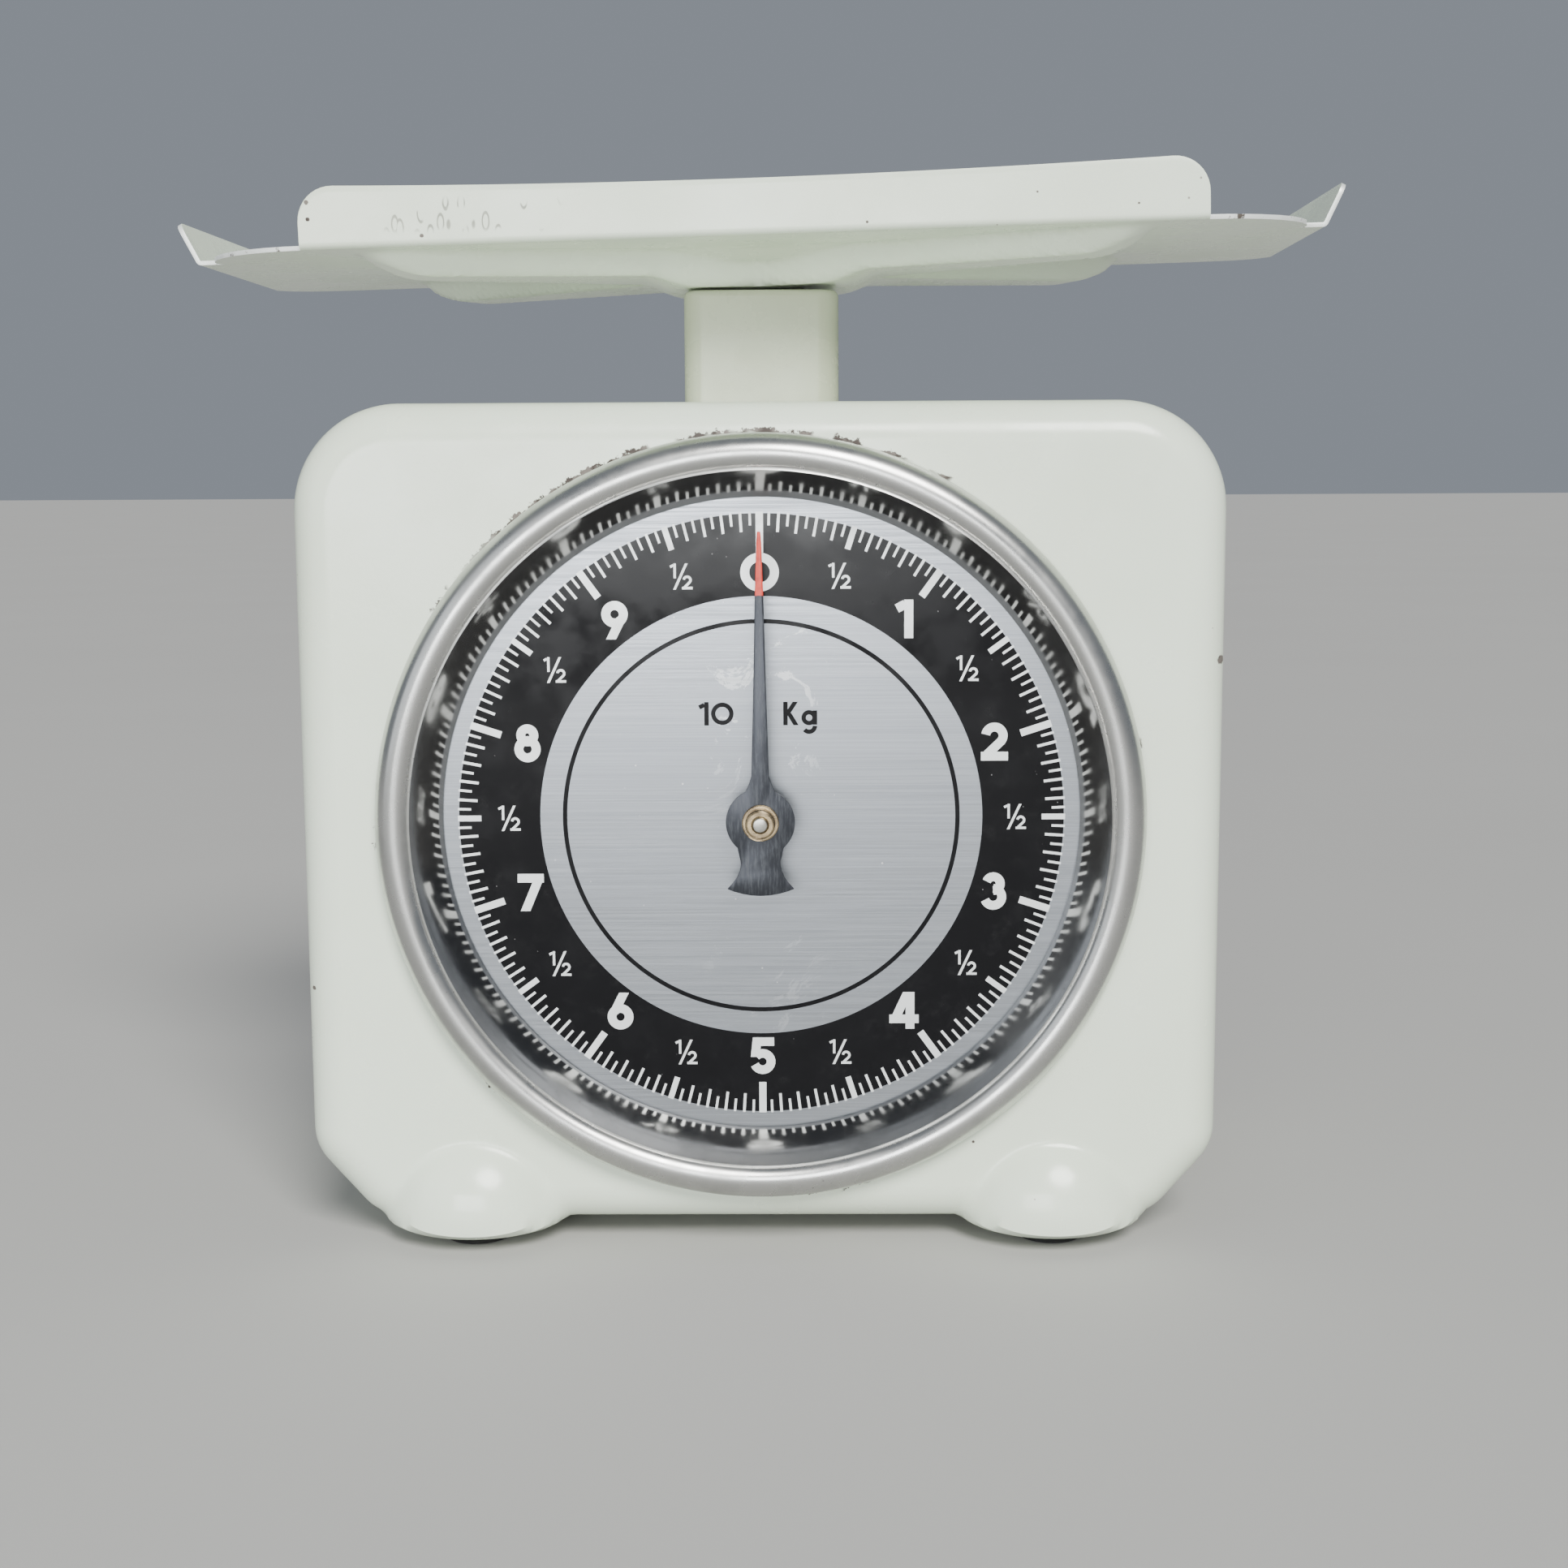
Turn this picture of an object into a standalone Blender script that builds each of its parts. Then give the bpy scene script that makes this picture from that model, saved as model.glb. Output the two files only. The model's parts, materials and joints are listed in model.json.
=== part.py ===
"""Counter-top dial scale, 10 kg: every piece as its own solid, in metres, +Z up.

X runs to the right of the dial, Y from the dial towards the back, and Z up from the surface that
the feet stand on. The origin is under the middle of the whole object's box. Sizes are written in
millimetres and become metres when a mesh is made. Depths count back from the case's front face.

How it works: the tray sits on a square post, the post carries the carriage, and the carriage is
guided by two parallel levers and held up by two extension springs. A rack on the carriage turns the
pinion of the pointer shaft once for 10 kg. The springs hang from a yoke on a threaded rod, which
the knurled knob behind the post raises or lowers to set zero.
"""
import math

import bmesh
import bpy
from mathutils import Matrix, Vector

MM = 0.001
GAP = 0.3                       # between pieces that rest on each other
PRESS = 0.05                    # round a shaft or pin in its hole

# Case
CASE_WIDTH = 208.0
CASE_TOP = 191.4
CASE_BOTTOM = 5.0
CASE_DEPTH = 116.0
SHEET = 1.0
TOP_CORNER = 24.0
FRONT_EDGE = 9.0
SLANT_HEIGHT = 17.0             # height and width of the slanted lower corners
SLANT_WIDTH = 15.0
SLANT_ROUND = 12.0

# Dial and bezel
DIAL_Z = 98.5
DIAL_DEPTH = 6.0                # front face of the dial
DIAL_RADIUS = 74.5
DIAL_SHEET = 1.0
BEZEL_RADIUS = 86.0
BEZEL_PROUD = 7.0               # how far the bead stands out from the case
FLARE_FOOT = 72.0               # radius where the flared wall meets the dial
FLARE_MOUTH = 77.8
FLARE_DEPTH = -5.5              # depth of the crease between the flare and the bead
FLARE_BACK = -3.2
BEZEL_SKIRT = 79.6              # outer radius of the skirt inside the case
DIAL_STEPS = 48                 # sides of each large round

# Feet
FOOT_X = 66.5
FOOT_Z = 6.0
FOOT_DEPTHS = {"front": 9.0, "rear": 92.0}
FOOT_RADII = (21.5, 17.0, 21.0)
FOOT_DROP = 4.8
FOOT_PROUD = FOOT_RADII[1] - FOOT_DEPTHS["front"]   # the front feet bulge furthest forward
FRONT_Y = (FOOT_PROUD - CASE_DEPTH) / 2
PAD_RADIUS = 8.0
PAD_TOP = 0.9
STEM_RADIUS = 2.4

# Post and tray
POST_DEPTH = 58.0
POST_WIDTH = 36.5
POST_ROUND = 5.0
POST_SHEET = 1.2
POST_TOP = 218.5
POST_FLANGE = 3.2
SOCKET = 24.0
SLOT_PLAY = 1.0
TRAY_BOTTOM = 227.5
TRAY_SHEET = 1.0
TRAY_HALF = (131.0, 51.0)
TRAY_TILT = 0.025               # seat play lets the tray lean and turn a little
TRAY_TURN = -0.026
TRAY_SHIFT = 0.2
LIP_HALF = 100.0
LIP_HEIGHT = 13.8
LIP_DIP = 1.8
LIP_ROUND = 8.0
REAR_LIP_HALF = 112.0
BEND = 2.5
WING_FRONT = -26.0
WING_REAR = 43.0
WING_RISE = 11.5
WING_LEAN = 5.7
ARM_TIP = (89.6, 40.9)
ARM_DROP = 5.6
BOSS_HALF = 21.0
BOSS_DROP = 8.1
SEAT_WIDTH = 22.5
SEAT_SHEET = 1.5
SEAT_DEPTH = 12.0
SEAT_RIVET_RADIUS = 2.5

# Movement
TRAVEL = 22.0                   # for 10 kg
OVERTRAVEL = 1.0                # upwards, when the tray is off
SHAFT_RADIUS = 1.7
SHAFT_FRONT = -6.6
SHAFT_REAR = 78.0
MODULE = 0.5
TEETH = 14
PINION_RADIUS = MODULE * TEETH / 2
PRESSURE_ANGLE = math.radians(20.0)
BACKLASH = 0.12
RACK_ADDENDUM = 0.4
RACK_DEPTHS = (56.0, 60.0)
RACK_BACK = 8.0
RACK_PIN = (6.0, 82.0)          # X and Z of the rack's pivot
BUSH_RADIUS = 2.95
BUSH_LENGTH = 5.0
POINTER_DEPTH = -2.0
POINTER_SHEET = 0.6

# Chassis
CHEEK = 30.0                    # inner face of each cheek
PLATE = 1.5
CHASSIS_FRONT = 21.5
CHASSIS_REAR = 100.0
FLOOR_Z = CASE_BOTTOM + SHEET + GAP
CHEEK_TOP = 171.5
BRIDGE_Z = CHEEK_TOP + GAP
POST_FOOT = BRIDGE_Z - OVERTRAVEL - GAP   # the turned-out foot stops under the bridge
BEARING_FRONT = CHASSIS_FRONT - GAP - PLATE
BEARING_REAR = 74.0
TAB = 10.0
SCREW_RADIUS = 1.5
SCREW_HOLE = 1.7
CHASSIS_SCREWS = [(-20.0, 34.0), (20.0, 88.0)]      # X and depth, up through the case's floor
BRIDGE_SCREW_X = CHEEK + PLATE + 5.0
BRIDGE_SCREWS = [(side * BRIDGE_SCREW_X, d) for side in (-1, 1) for d in (30.0, 92.0)]
FRONT_TABS = [(-1, 72.0), (1, 126.0)]               # side and Z of each front bearing tab
REAR_TAB_X = 25.0
PILLAR_X = 25.0

# Back cover
LUG_HEIGHTS = (60.0, 150.0)
LUG_X = 96.5
COVER_DEPTH = 112.5
COVER_SHEET = 1.2

# Carriage and levers
ARM_X = 15.3                    # inner face of each carriage arm
ARM_DEPTHS = (49.0, 67.0)
ARM_TOP = 186.0
ARM_BOTTOM = 58.0
SPRING_PLATE_Z = 129.0
RIVET_Z = 178.0                 # rivets through the post into the carriage
RIVET_RADIUS = 1.9
RACK_PIN_RADIUS = 1.2
LEVER_X = 19.5
LEVER_SHEET = 2.0
LEVER_PIVOT_DEPTH = 26.0
LEVER_PINS = {"upper": 146.0, "lower": 66.0}
PIN_RADIUS = 2.0
PIN_RUNNING = 0.06
SLOT_RADIUS = 2.16
LEVER_REACH = POST_DEPTH - LEVER_PIVOT_DEPTH

# Springs and zero setting
SPRING_X = 14.0
SPRING_DEPTH = 88.0
SPRING_RADIUS = 5.5
SPRING_WIRE = 0.7
SPRING_TURNS = 13
SPRING_PITCH = 1.7
YOKE_Z = 163.0
YOKE_SHEET = 3.0
ROD_RADIUS = 1.9
KNOB_RADIUS = 9.0
KNOB_HEIGHT = 4.5
KNOB_HUB = 5.0


def depth(value):
    """Y of a depth counted back from the case's front face."""
    return FRONT_Y + value


for old in list(bpy.data.objects):
    bpy.data.objects.remove(old, do_unlink=True)

parts = bpy.data.collections.new("dial_scale")
cutters = bpy.data.collections.new("cutters")
for collection in (parts, cutters):
    bpy.context.scene.collection.children.link(collection)


def finish(name, colour, roughness, metallic=0.0):
    material = bpy.data.materials.new(name)
    material.use_nodes = True
    shader = material.node_tree.nodes["Principled BSDF"]
    shader.inputs["Base Color"].default_value = (*colour, 1.0)
    shader.inputs["Roughness"].default_value = roughness
    shader.inputs["Metallic"].default_value = metallic
    return material


ENAMEL = finish("cream_enamel", (0.80, 0.84, 0.76), 0.28)
POST_ENAMEL = finish("post_enamel", (0.70, 0.74, 0.62), 0.32)
ALUMINIUM = finish("polished_aluminium", (0.78, 0.78, 0.78), 0.22, 1.0)
DIAL_METAL = finish("dial_aluminium", (0.72, 0.73, 0.75), 0.35, 1.0)
BLUED = finish("blued_steel", (0.045, 0.05, 0.065), 0.35, 0.8)
BRASS = finish("brass", (0.62, 0.50, 0.30), 0.35, 1.0)
STEEL = finish("plated_steel", (0.55, 0.55, 0.52), 0.35, 1.0)
SPRING_STEEL = finish("spring_steel", (0.38, 0.38, 0.40), 0.3, 1.0)
RUBBER = finish("black_rubber", (0.02, 0.02, 0.02), 0.8)
PLASTIC = finish("knob_plastic", (0.05, 0.05, 0.05), 0.4)


def body(name, x=0.0, y=0.0, z=0.0):
    """An empty on the joint's axis, which carries the pieces that move with it."""
    empty = bpy.data.objects.new("body_" + name, None)
    empty.location = Vector((x, y, z)) * MM
    parts.objects.link(empty)
    return empty


CASE = body("case")
LOAD = body("load", 0.0, depth(POST_DEPTH), POST_FOOT)
TRAY = body("tray", 0.0, depth(POST_DEPTH), POST_TOP)
POINTER = body("pointer", 0.0, 0.0, DIAL_Z)
LEVERS = {level: body(level + "_lever", 0.0, depth(LEVER_PIVOT_DEPTH), pin_z - TRAVEL / 2)
          for level, pin_z in LEVER_PINS.items()}
ZERO_KNOB = body("zero_knob", 0.0, depth(SPRING_DEPTH), CASE_TOP)
ZERO_ROD = body("zero_rod", 0.0, depth(SPRING_DEPTH), YOKE_Z)


def add_mesh(name, mesh, carrier, material, collection=parts):
    """An object whose mesh was made in world millimetres, carried by one body."""
    mesh.transform(Matrix.Translation(-carrier.location) @ Matrix.Scale(MM, 4))
    mesh.materials.clear()
    mesh.materials.append(material)
    mesh.set_sharp_from_angle(angle=math.radians(35))
    obj = bpy.data.objects.new(name, mesh)
    obj.parent = carrier
    collection.objects.link(obj)
    if collection is cutters:
        obj.hide_render = True
        obj.display_type = "WIRE"
    return obj


def from_bmesh(name, bm, carrier, material, collection=parts):
    bmesh.ops.recalc_face_normals(bm, faces=bm.faces)
    mesh = bpy.data.meshes.new(name)
    bm.to_mesh(mesh)
    bm.free()
    return add_mesh(name, mesh, carrier, material, collection)


def boolean(target, tool, operation="DIFFERENCE"):
    modifier = target.modifiers.new(operation.lower() + "_" + tool.name, "BOOLEAN")
    modifier.operation = operation
    modifier.object = tool
    modifier.solver = "EXACT"


def box_tool(name, low, high):
    """A box between two corners, used by a boolean."""
    low, high = Vector(low), Vector(high)
    bm = bmesh.new()
    bmesh.ops.create_cube(bm, size=1.0)
    bmesh.ops.scale(bm, vec=high - low, verts=bm.verts)
    bmesh.ops.translate(bm, vec=(low + high) / 2, verts=bm.verts)
    return from_bmesh(name, bm, CASE, ENAMEL, cutters)


# Where a turned piece's own axis points, and how an outline lies
TURNS = {"X": Matrix.Rotation(math.radians(90), 4, "Y"),
         "Y": Matrix.Rotation(math.radians(-90), 4, "X"),
         "Z": Matrix.Identity(4)}
PLANES = {"XY": Matrix.Identity(4),
          "XZ": Matrix.Rotation(math.radians(90), 4, "X"),
          "YZ": Matrix(((0, 0, 1, 0), (1, 0, 0, 0), (0, 1, 0, 0), (0, 0, 0, 1)))}


def turned(name, carrier, material, axis, centre, profile, steps=24, collection=parts):
    """A solid of revolution: (radius, height) pairs run down its outer side from its top."""
    bm = bmesh.new()
    verts = [bm.verts.new((radius * MM, 0.0, height * MM)) for radius, height in profile]
    for first, second in zip(verts, verts[1:]):
        bm.edges.new((first, second))
    if profile[0][0] > 0:
        bm.edges.new((verts[-1], verts[0]))
    mesh = bpy.data.meshes.new(name)
    bm.to_mesh(mesh)
    bm.free()
    mesh.materials.append(material)
    obj = bpy.data.objects.new(name, mesh)
    obj.parent = carrier
    obj.matrix_local = Matrix.Translation(Vector(centre) * MM - carrier.location) @ TURNS[axis]
    collection.objects.link(obj)
    screw = obj.modifiers.new("turn", "SCREW")
    screw.steps = steps
    screw.render_steps = steps
    screw.use_merge_vertices = True
    screw.merge_threshold = 0.00001
    screw.use_smooth_shade = True
    if collection is cutters:
        obj.hide_render = True
        obj.display_type = "WIRE"
    return obj


def arc(centre, radius, start, end, count):
    """Points along an arc, angles in degrees."""
    angles = [math.radians(start + (end - start) * i / count) for i in range(count + 1)]
    return [(centre[0] + radius * math.cos(a), centre[1] + radius * math.sin(a)) for a in angles]


def circle(centre, radius, count=20):
    return arc(centre, radius, 0, 360, count)[:-1]


def rounded_box(low, high, radius, count=4):
    """Outline of a rectangle with round corners."""
    points = []
    for (x, y), start in (((high[0] - radius, high[1] - radius), 0),
                          ((low[0] + radius, high[1] - radius), 90),
                          ((low[0] + radius, low[1] + radius), 180),
                          ((high[0] - radius, low[1] + radius), 270)):
        points += arc((x, y), radius, start, start + 90, count)
    return points


def slot(first, second, radius, count=8):
    """Outline of a slot with round ends between two centres."""
    heading = math.degrees(math.atan2(second[1] - first[1], second[0] - first[0]))
    return (arc(second, radius, heading - 90, heading + 90, count)
            + arc(first, radius, heading + 90, heading + 270, count))


NORMALS = {"XY": (0, 0, 1), "XZ": (0, 1, 0), "YZ": (1, 0, 0)}


def plate(name, carrier, material, plane, at, thickness, outline, holes=(), collection=parts):
    """A flat sheet cut to an outline with holes; it fills at to at + thickness along its normal."""
    curve = bpy.data.curves.new(name, "CURVE")
    curve.dimensions = "2D"
    curve.fill_mode = "BOTH"
    curve.extrude = thickness / 2
    for points in (outline, *holes):
        spline = curve.splines.new("POLY")
        spline.points.add(len(points) - 1)
        for point, (u, v) in zip(spline.points, points):
            point.co = (u, v, 0.0, 1.0)
        spline.use_cyclic_u = True
    flat = bpy.data.objects.new(name + "_outline", curve)
    bpy.context.scene.collection.objects.link(flat)
    bpy.context.view_layer.update()
    mesh = bpy.data.meshes.new_from_object(flat.evaluated_get(bpy.context.evaluated_depsgraph_get()))
    bpy.data.objects.remove(flat, do_unlink=True)
    mesh.transform(Matrix.Translation(Vector(NORMALS[plane]) * (at + thickness / 2)) @ PLANES[plane])
    bm = bmesh.new()
    bm.from_mesh(mesh)
    bpy.data.meshes.remove(mesh)
    bmesh.ops.remove_doubles(bm, verts=bm.verts, dist=0.001)
    return from_bmesh(name, bm, carrier, material, collection)


def wire(name, carrier, material, points, radius):
    """A round wire along a list of points."""
    curve = bpy.data.curves.new(name, "CURVE")
    curve.dimensions = "3D"
    curve.bevel_depth = radius * MM
    curve.bevel_resolution = 1
    curve.use_fill_caps = True
    spline = curve.splines.new("POLY")
    spline.points.add(len(points) - 1)
    for point, place in zip(spline.points, points):
        point.co = (*(Vector(place) * MM - carrier.location), 1.0)
    curve.materials.append(material)
    obj = bpy.data.objects.new(name, curve)
    obj.parent = carrier
    parts.objects.link(obj)
    return obj


def screw(name, carrier, axis, centre, length, head_radius=3.0, head=1.8, radius=SCREW_RADIUS,
          points_up=False):
    """A pan-head screw: its head's seat is at the centre, its shank runs along the axis or back."""
    side = -1 if points_up else 1
    profile = [(0, side * length), (radius, side * length), (radius, 0), (head_radius, 0),
               (head_radius, -side * head * 0.6), (head_radius * 0.7, -side * head), (0, -side * head)]
    if points_up:
        profile.reverse()
    turned(name, carrier, STEEL, axis, centre, profile, 10)


# ---------------------------------------------------------------- case


def case_outline(inset):
    """The case seen from the front: round top corners, slanted bottom corners."""
    half = CASE_WIDTH / 2 - inset
    top = CASE_TOP - inset
    bottom = CASE_BOTTOM + inset
    corner = TOP_CORNER - inset
    slant = math.atan2(SLANT_HEIGHT, SLANT_WIDTH)
    upper_cut = SLANT_ROUND * math.tan((math.pi / 2 - slant) / 2)
    lower_cut = SLANT_ROUND * math.tan(slant / 2)
    right = arc((half - corner, top - corner), corner, 90, 0, 6)
    elbow = (half - SLANT_ROUND, bottom + SLANT_HEIGHT + upper_cut)
    right += arc(elbow, SLANT_ROUND, 0, -90 + math.degrees(slant), 3)
    heel = (half - SLANT_WIDTH - lower_cut, bottom + SLANT_ROUND)
    right += arc(heel, SLANT_ROUND, -90 + math.degrees(slant), -90, 3)
    return right + [(-x, z) for x, z in reversed(right)]


def case_block(name, inset, back, collection):
    """A block of the case's outline with its front edge rounded."""
    bm = bmesh.new()
    front = FRONT_Y + inset
    face = bm.faces.new([bm.verts.new((x, front, z)) for x, z in case_outline(inset)])
    grown = bmesh.ops.extrude_face_region(bm, geom=[face])
    moved = [item for item in grown["geom"] if isinstance(item, bmesh.types.BMVert)]
    bmesh.ops.translate(bm, vec=(0, depth(back) - front, 0), verts=moved)
    bm.edges.ensure_lookup_table()
    rim = [line for line in bm.edges if all(abs(v.co.y - front) < 0.001 for v in line.verts)]
    bmesh.ops.bevel(bm, geom=rim, offset=FRONT_EDGE - inset, segments=4, profile=0.5, affect="EDGES")
    return from_bmesh(name, bm, CASE, ENAMEL, collection)


def foot_dome(name, side, foot_depth, inset, rings):
    """The dome pressed into a lower corner: round above, shallow below."""
    bm = bmesh.new()
    bmesh.ops.create_uvsphere(bm, u_segments=2 * rings, v_segments=rings, radius=1.0)
    wide, deep, tall = (radius - inset for radius in FOOT_RADII)
    for vert in bm.verts:
        height = tall if vert.co.z > 0 else FOOT_DROP - inset
        vert.co = (vert.co.x * wide, vert.co.y * deep, vert.co.z * height)
    bmesh.ops.translate(bm, vec=(side * FOOT_X, depth(foot_depth), FOOT_Z), verts=bm.verts)
    return from_bmesh(name, bm, CASE, ENAMEL, cutters)


def round_tool(name, axis, centre, radius, low, high, steps=24):
    """A cylinder used as a cutter."""
    profile = [(0, high), (radius, high), (radius, low), (0, low)]
    return turned(name, CASE, STEEL, axis, centre, profile, steps, cutters)


def build_housing():
    housing = case_block("housing", 0.0, CASE_DEPTH, parts)
    for place, foot_depth in FOOT_DEPTHS.items():
        for side in (-1, 1):
            boolean(housing, foot_dome(f"dome_{place}_{side}", side, foot_depth, 0.0, 8), "UNION")
    boolean(housing, case_block("hollow", SHEET, CASE_DEPTH + 5, cutters))
    for place, foot_depth in FOOT_DEPTHS.items():
        for side in (-1, 1):
            boolean(housing, foot_dome(f"dome_hollow_{place}_{side}", side, foot_depth, SHEET, 6))
            hole = (side * FOOT_X, depth(foot_depth), 0.0)
            boolean(housing, round_tool(f"stem_hole_{place}_{side}", "Z", hole, STEM_RADIUS + 0.2, 0, 8, 12))
    hub = (0.0, FRONT_Y, DIAL_Z)
    boolean(housing, round_tool("dial_hole", "Y", hub, BEZEL_SKIRT + GAP, -5, 5, DIAL_STEPS))
    half = POST_WIDTH / 2 + SLOT_PLAY
    low, high = (-half, depth(POST_DEPTH) - half), (half, depth(POST_DEPTH) + half)
    outline = rounded_box(low, high, POST_ROUND + SLOT_PLAY)
    boolean(housing, plate("post_slot", CASE, ENAMEL, "XY", CASE_TOP - 5, 10, outline, collection=cutters))
    knob = (0.0, depth(SPRING_DEPTH), CASE_TOP)
    boolean(housing, round_tool("knob_hole", "Z", knob, KNOB_HUB + 0.6, -5, 5, 20))
    for x, d in CHASSIS_SCREWS:
        spot = (x, depth(d), CASE_BOTTOM)
        boolean(housing, round_tool(f"floor_hole_{x:.0f}", "Z", spot, SCREW_HOLE, -3, 3, 10))
    for side in (-1, 1):
        for height in LUG_HEIGHTS:
            inner, outer = sorted((side * (LUG_X - 5), side * (CASE_WIDTH / 2 - SHEET / 2)))
            low = (inner, depth(COVER_DEPTH - GAP - 8), height - 6)
            high = (outer, depth(COVER_DEPTH - GAP), height + 6)
            place = f"{side}_{height:.0f}"
            boolean(housing, box_tool("lug_" + place, low, high), "UNION")
            spot = (side * LUG_X, depth(COVER_DEPTH), height)
            boolean(housing, round_tool("lug_hole_" + place, "Y", spot, SCREW_HOLE, -12, 3, 10))


def build_back_cover():
    """The sheet that closes the back, held by four screws."""
    places = {f"{level}_{hand}": (side * LUG_X, height)
              for side, hand in ((-1, "left"), (1, "right"))
              for level, height in zip(("lower", "upper"), LUG_HEIGHTS)}
    holes = [circle(place, SCREW_HOLE, 10) for place in places.values()]
    outline = case_outline(SHEET + 0.4)
    plate("back_cover", CASE, ENAMEL, "XZ", depth(COVER_DEPTH), COVER_SHEET, outline, holes)
    for place, (x, z) in places.items():
        seat = (x, depth(COVER_DEPTH + COVER_SHEET + GAP), z)
        screw("cover_screw_" + place, CASE, "Y", seat, 8.0, points_up=True)


def build_feet():
    """Rubber pads whose barbed stems push up through the domes."""
    barb = STEM_RADIUS + 1.0
    shell = FOOT_Z - FOOT_DROP + SHEET + GAP
    profile = [(0, shell + 2.4), (STEM_RADIUS, shell + 2.4), (barb, shell + 0.4), (barb, shell),
               (STEM_RADIUS, shell), (STEM_RADIUS, PAD_TOP), (PAD_RADIUS, PAD_TOP),
               (PAD_RADIUS, 0.4), (PAD_RADIUS - 0.6, 0), (0, 0)]
    for place, foot_depth in FOOT_DEPTHS.items():
        for side, hand in ((-1, "left"), (1, "right")):
            spot = (side * FOOT_X, depth(foot_depth), 0.0)
            turned(f"foot_{place}_{hand}", CASE, RUBBER, "Z", spot, profile, 12)


# ---------------------------------------------------------------- bezel and dial


def build_bezel():
    """Half-round bead, flared wall down to the dial, and a skirt into the case."""
    bead = [(BEZEL_RADIUS, -GAP), (85.6, -2.2), (84.6, -4.6), (83.2, 0.7 - BEZEL_PROUD), (81.5, -BEZEL_PROUD),
            (79.8, 0.2 - BEZEL_PROUD), (78.5, 0.8 - BEZEL_PROUD)]
    foot = DIAL_DEPTH - GAP
    flare = [(FLARE_MOUTH, FLARE_DEPTH), (FLARE_FOOT, foot - 0.4), (FLARE_FOOT + 0.2, foot),
             (FLARE_FOOT + 1.5, foot), (FLARE_MOUTH + 0.1, FLARE_BACK), (BEZEL_SKIRT - 1, FLARE_BACK)]
    skirt = [(BEZEL_SKIRT - 1, 3.0), (BEZEL_SKIRT, 3.0), (BEZEL_SKIRT, -GAP)]
    hub = (0.0, FRONT_Y, DIAL_Z)
    profile = (bead + flare + skirt)[::-1]
    bezel = turned("bezel", CASE, ALUMINIUM, "Y", hub, profile, DIAL_STEPS)
    for index in range(6):
        angle = math.radians(30 + 60 * index)
        low, high = (BEZEL_SKIRT - 0.5, FRONT_Y + SHEET + GAP, -4), (BEZEL_SKIRT + 3.9, FRONT_Y + 2.4, 4)
        tab = box_tool(f"bezel_tab_{index}", low, high)
        tab.matrix_local = Matrix.Translation((0, 0, DIAL_Z * MM)) @ Matrix.Rotation(angle, 4, "Y")
        boolean(bezel, tab, "UNION")


def build_dial():
    """The printed disc, and the two pillars that stand it off the front bearing plate."""
    hole = 4.0
    profile = [(DIAL_RADIUS, DIAL_DEPTH + DIAL_SHEET), (DIAL_RADIUS, DIAL_DEPTH), (hole, DIAL_DEPTH),
               (hole, DIAL_DEPTH + DIAL_SHEET)]
    turned("dial_plate", CASE, DIAL_METAL, "Y", (0.0, FRONT_Y, DIAL_Z), profile, DIAL_STEPS)
    length = BEARING_FRONT - GAP - (DIAL_DEPTH + DIAL_SHEET + GAP)
    shoulder, waist = 3.2, 2.2
    profile = [(0, length), (shoulder, length), (shoulder, length - 2), (waist, length - 2),
               (waist, 2), (shoulder, 2), (shoulder, 0), (0, 0)]
    for side, hand in ((-1, "left"), (1, "right")):
        spot = (side * PILLAR_X, depth(DIAL_DEPTH + DIAL_SHEET + GAP), DIAL_Z)
        turned("dial_pillar_" + hand, CASE, BRASS, "Y", spot, profile, 12)


# ---------------------------------------------------------------- chassis


def build_chassis():
    """A floor with two cheeks, and tabs for the bridge and the two bearing plates."""
    front, rear = depth(CHASSIS_FRONT), depth(CHASSIS_REAR)
    floor_holes = [circle((x, depth(d)), SCREW_HOLE, 10) for x, d in CHASSIS_SCREWS]
    outer = CHEEK + PLATE
    edge = CHEEK + PLATE / 2
    floor = [(-edge, front + 0.5), (edge, front + 0.5), (edge, rear - 0.5), (-edge, rear - 0.5)]
    chassis = plate("chassis", CASE, STEEL, "XY", FLOOR_Z, PLATE, floor, floor_holes)
    holes = [rounded_box((depth(34.0), 76.0), (depth(68.0), 122.0), 6, 3),
             rounded_box((depth(40.0), 20.0), (rear - 12, 44.0), 6, 3)]
    holes += [circle((depth(LEVER_PIVOT_DEPTH), z - TRAVEL / 2), PIN_RADIUS + PRESS, 16)
              for z in LEVER_PINS.values()]
    cheek = [(front, FLOOR_Z - 0.1), (rear, FLOOR_Z - 0.1), (rear, 150.0), (rear - 8, CHEEK_TOP),
             (front, CHEEK_TOP)]
    for name, at in (("right_cheek", CHEEK), ("left_cheek", -outer)):
        boolean(chassis, plate(name, CASE, STEEL, "YZ", at, PLATE, cheek, holes, cutters), "UNION")
    for x, d in BRIDGE_SCREWS:
        inner, far = sorted((math.copysign(edge, x), math.copysign(outer + TAB, x)))
        outline = [(inner, depth(d) - 5), (far, depth(d) - 5), (far, depth(d) + 5), (inner, depth(d) + 5)]
        hole = circle((x, depth(d)), SCREW_HOLE, 10)
        tab = plate(f"bridge_tab_{x:.0f}_{d:.0f}", CASE, STEEL, "XY", CHEEK_TOP - PLATE - 0.1, PLATE,
                    outline, [hole], cutters)
        boolean(chassis, tab, "UNION")
    for side, z in FRONT_TABS:
        bearing_tab(chassis, f"front_tab_{side}", side, CHASSIS_FRONT, z)
    for side in (-1, 1):
        bearing_tab(chassis, f"rear_tab_{side}", side, BEARING_REAR + PLATE + GAP, DIAL_Z)


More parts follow.
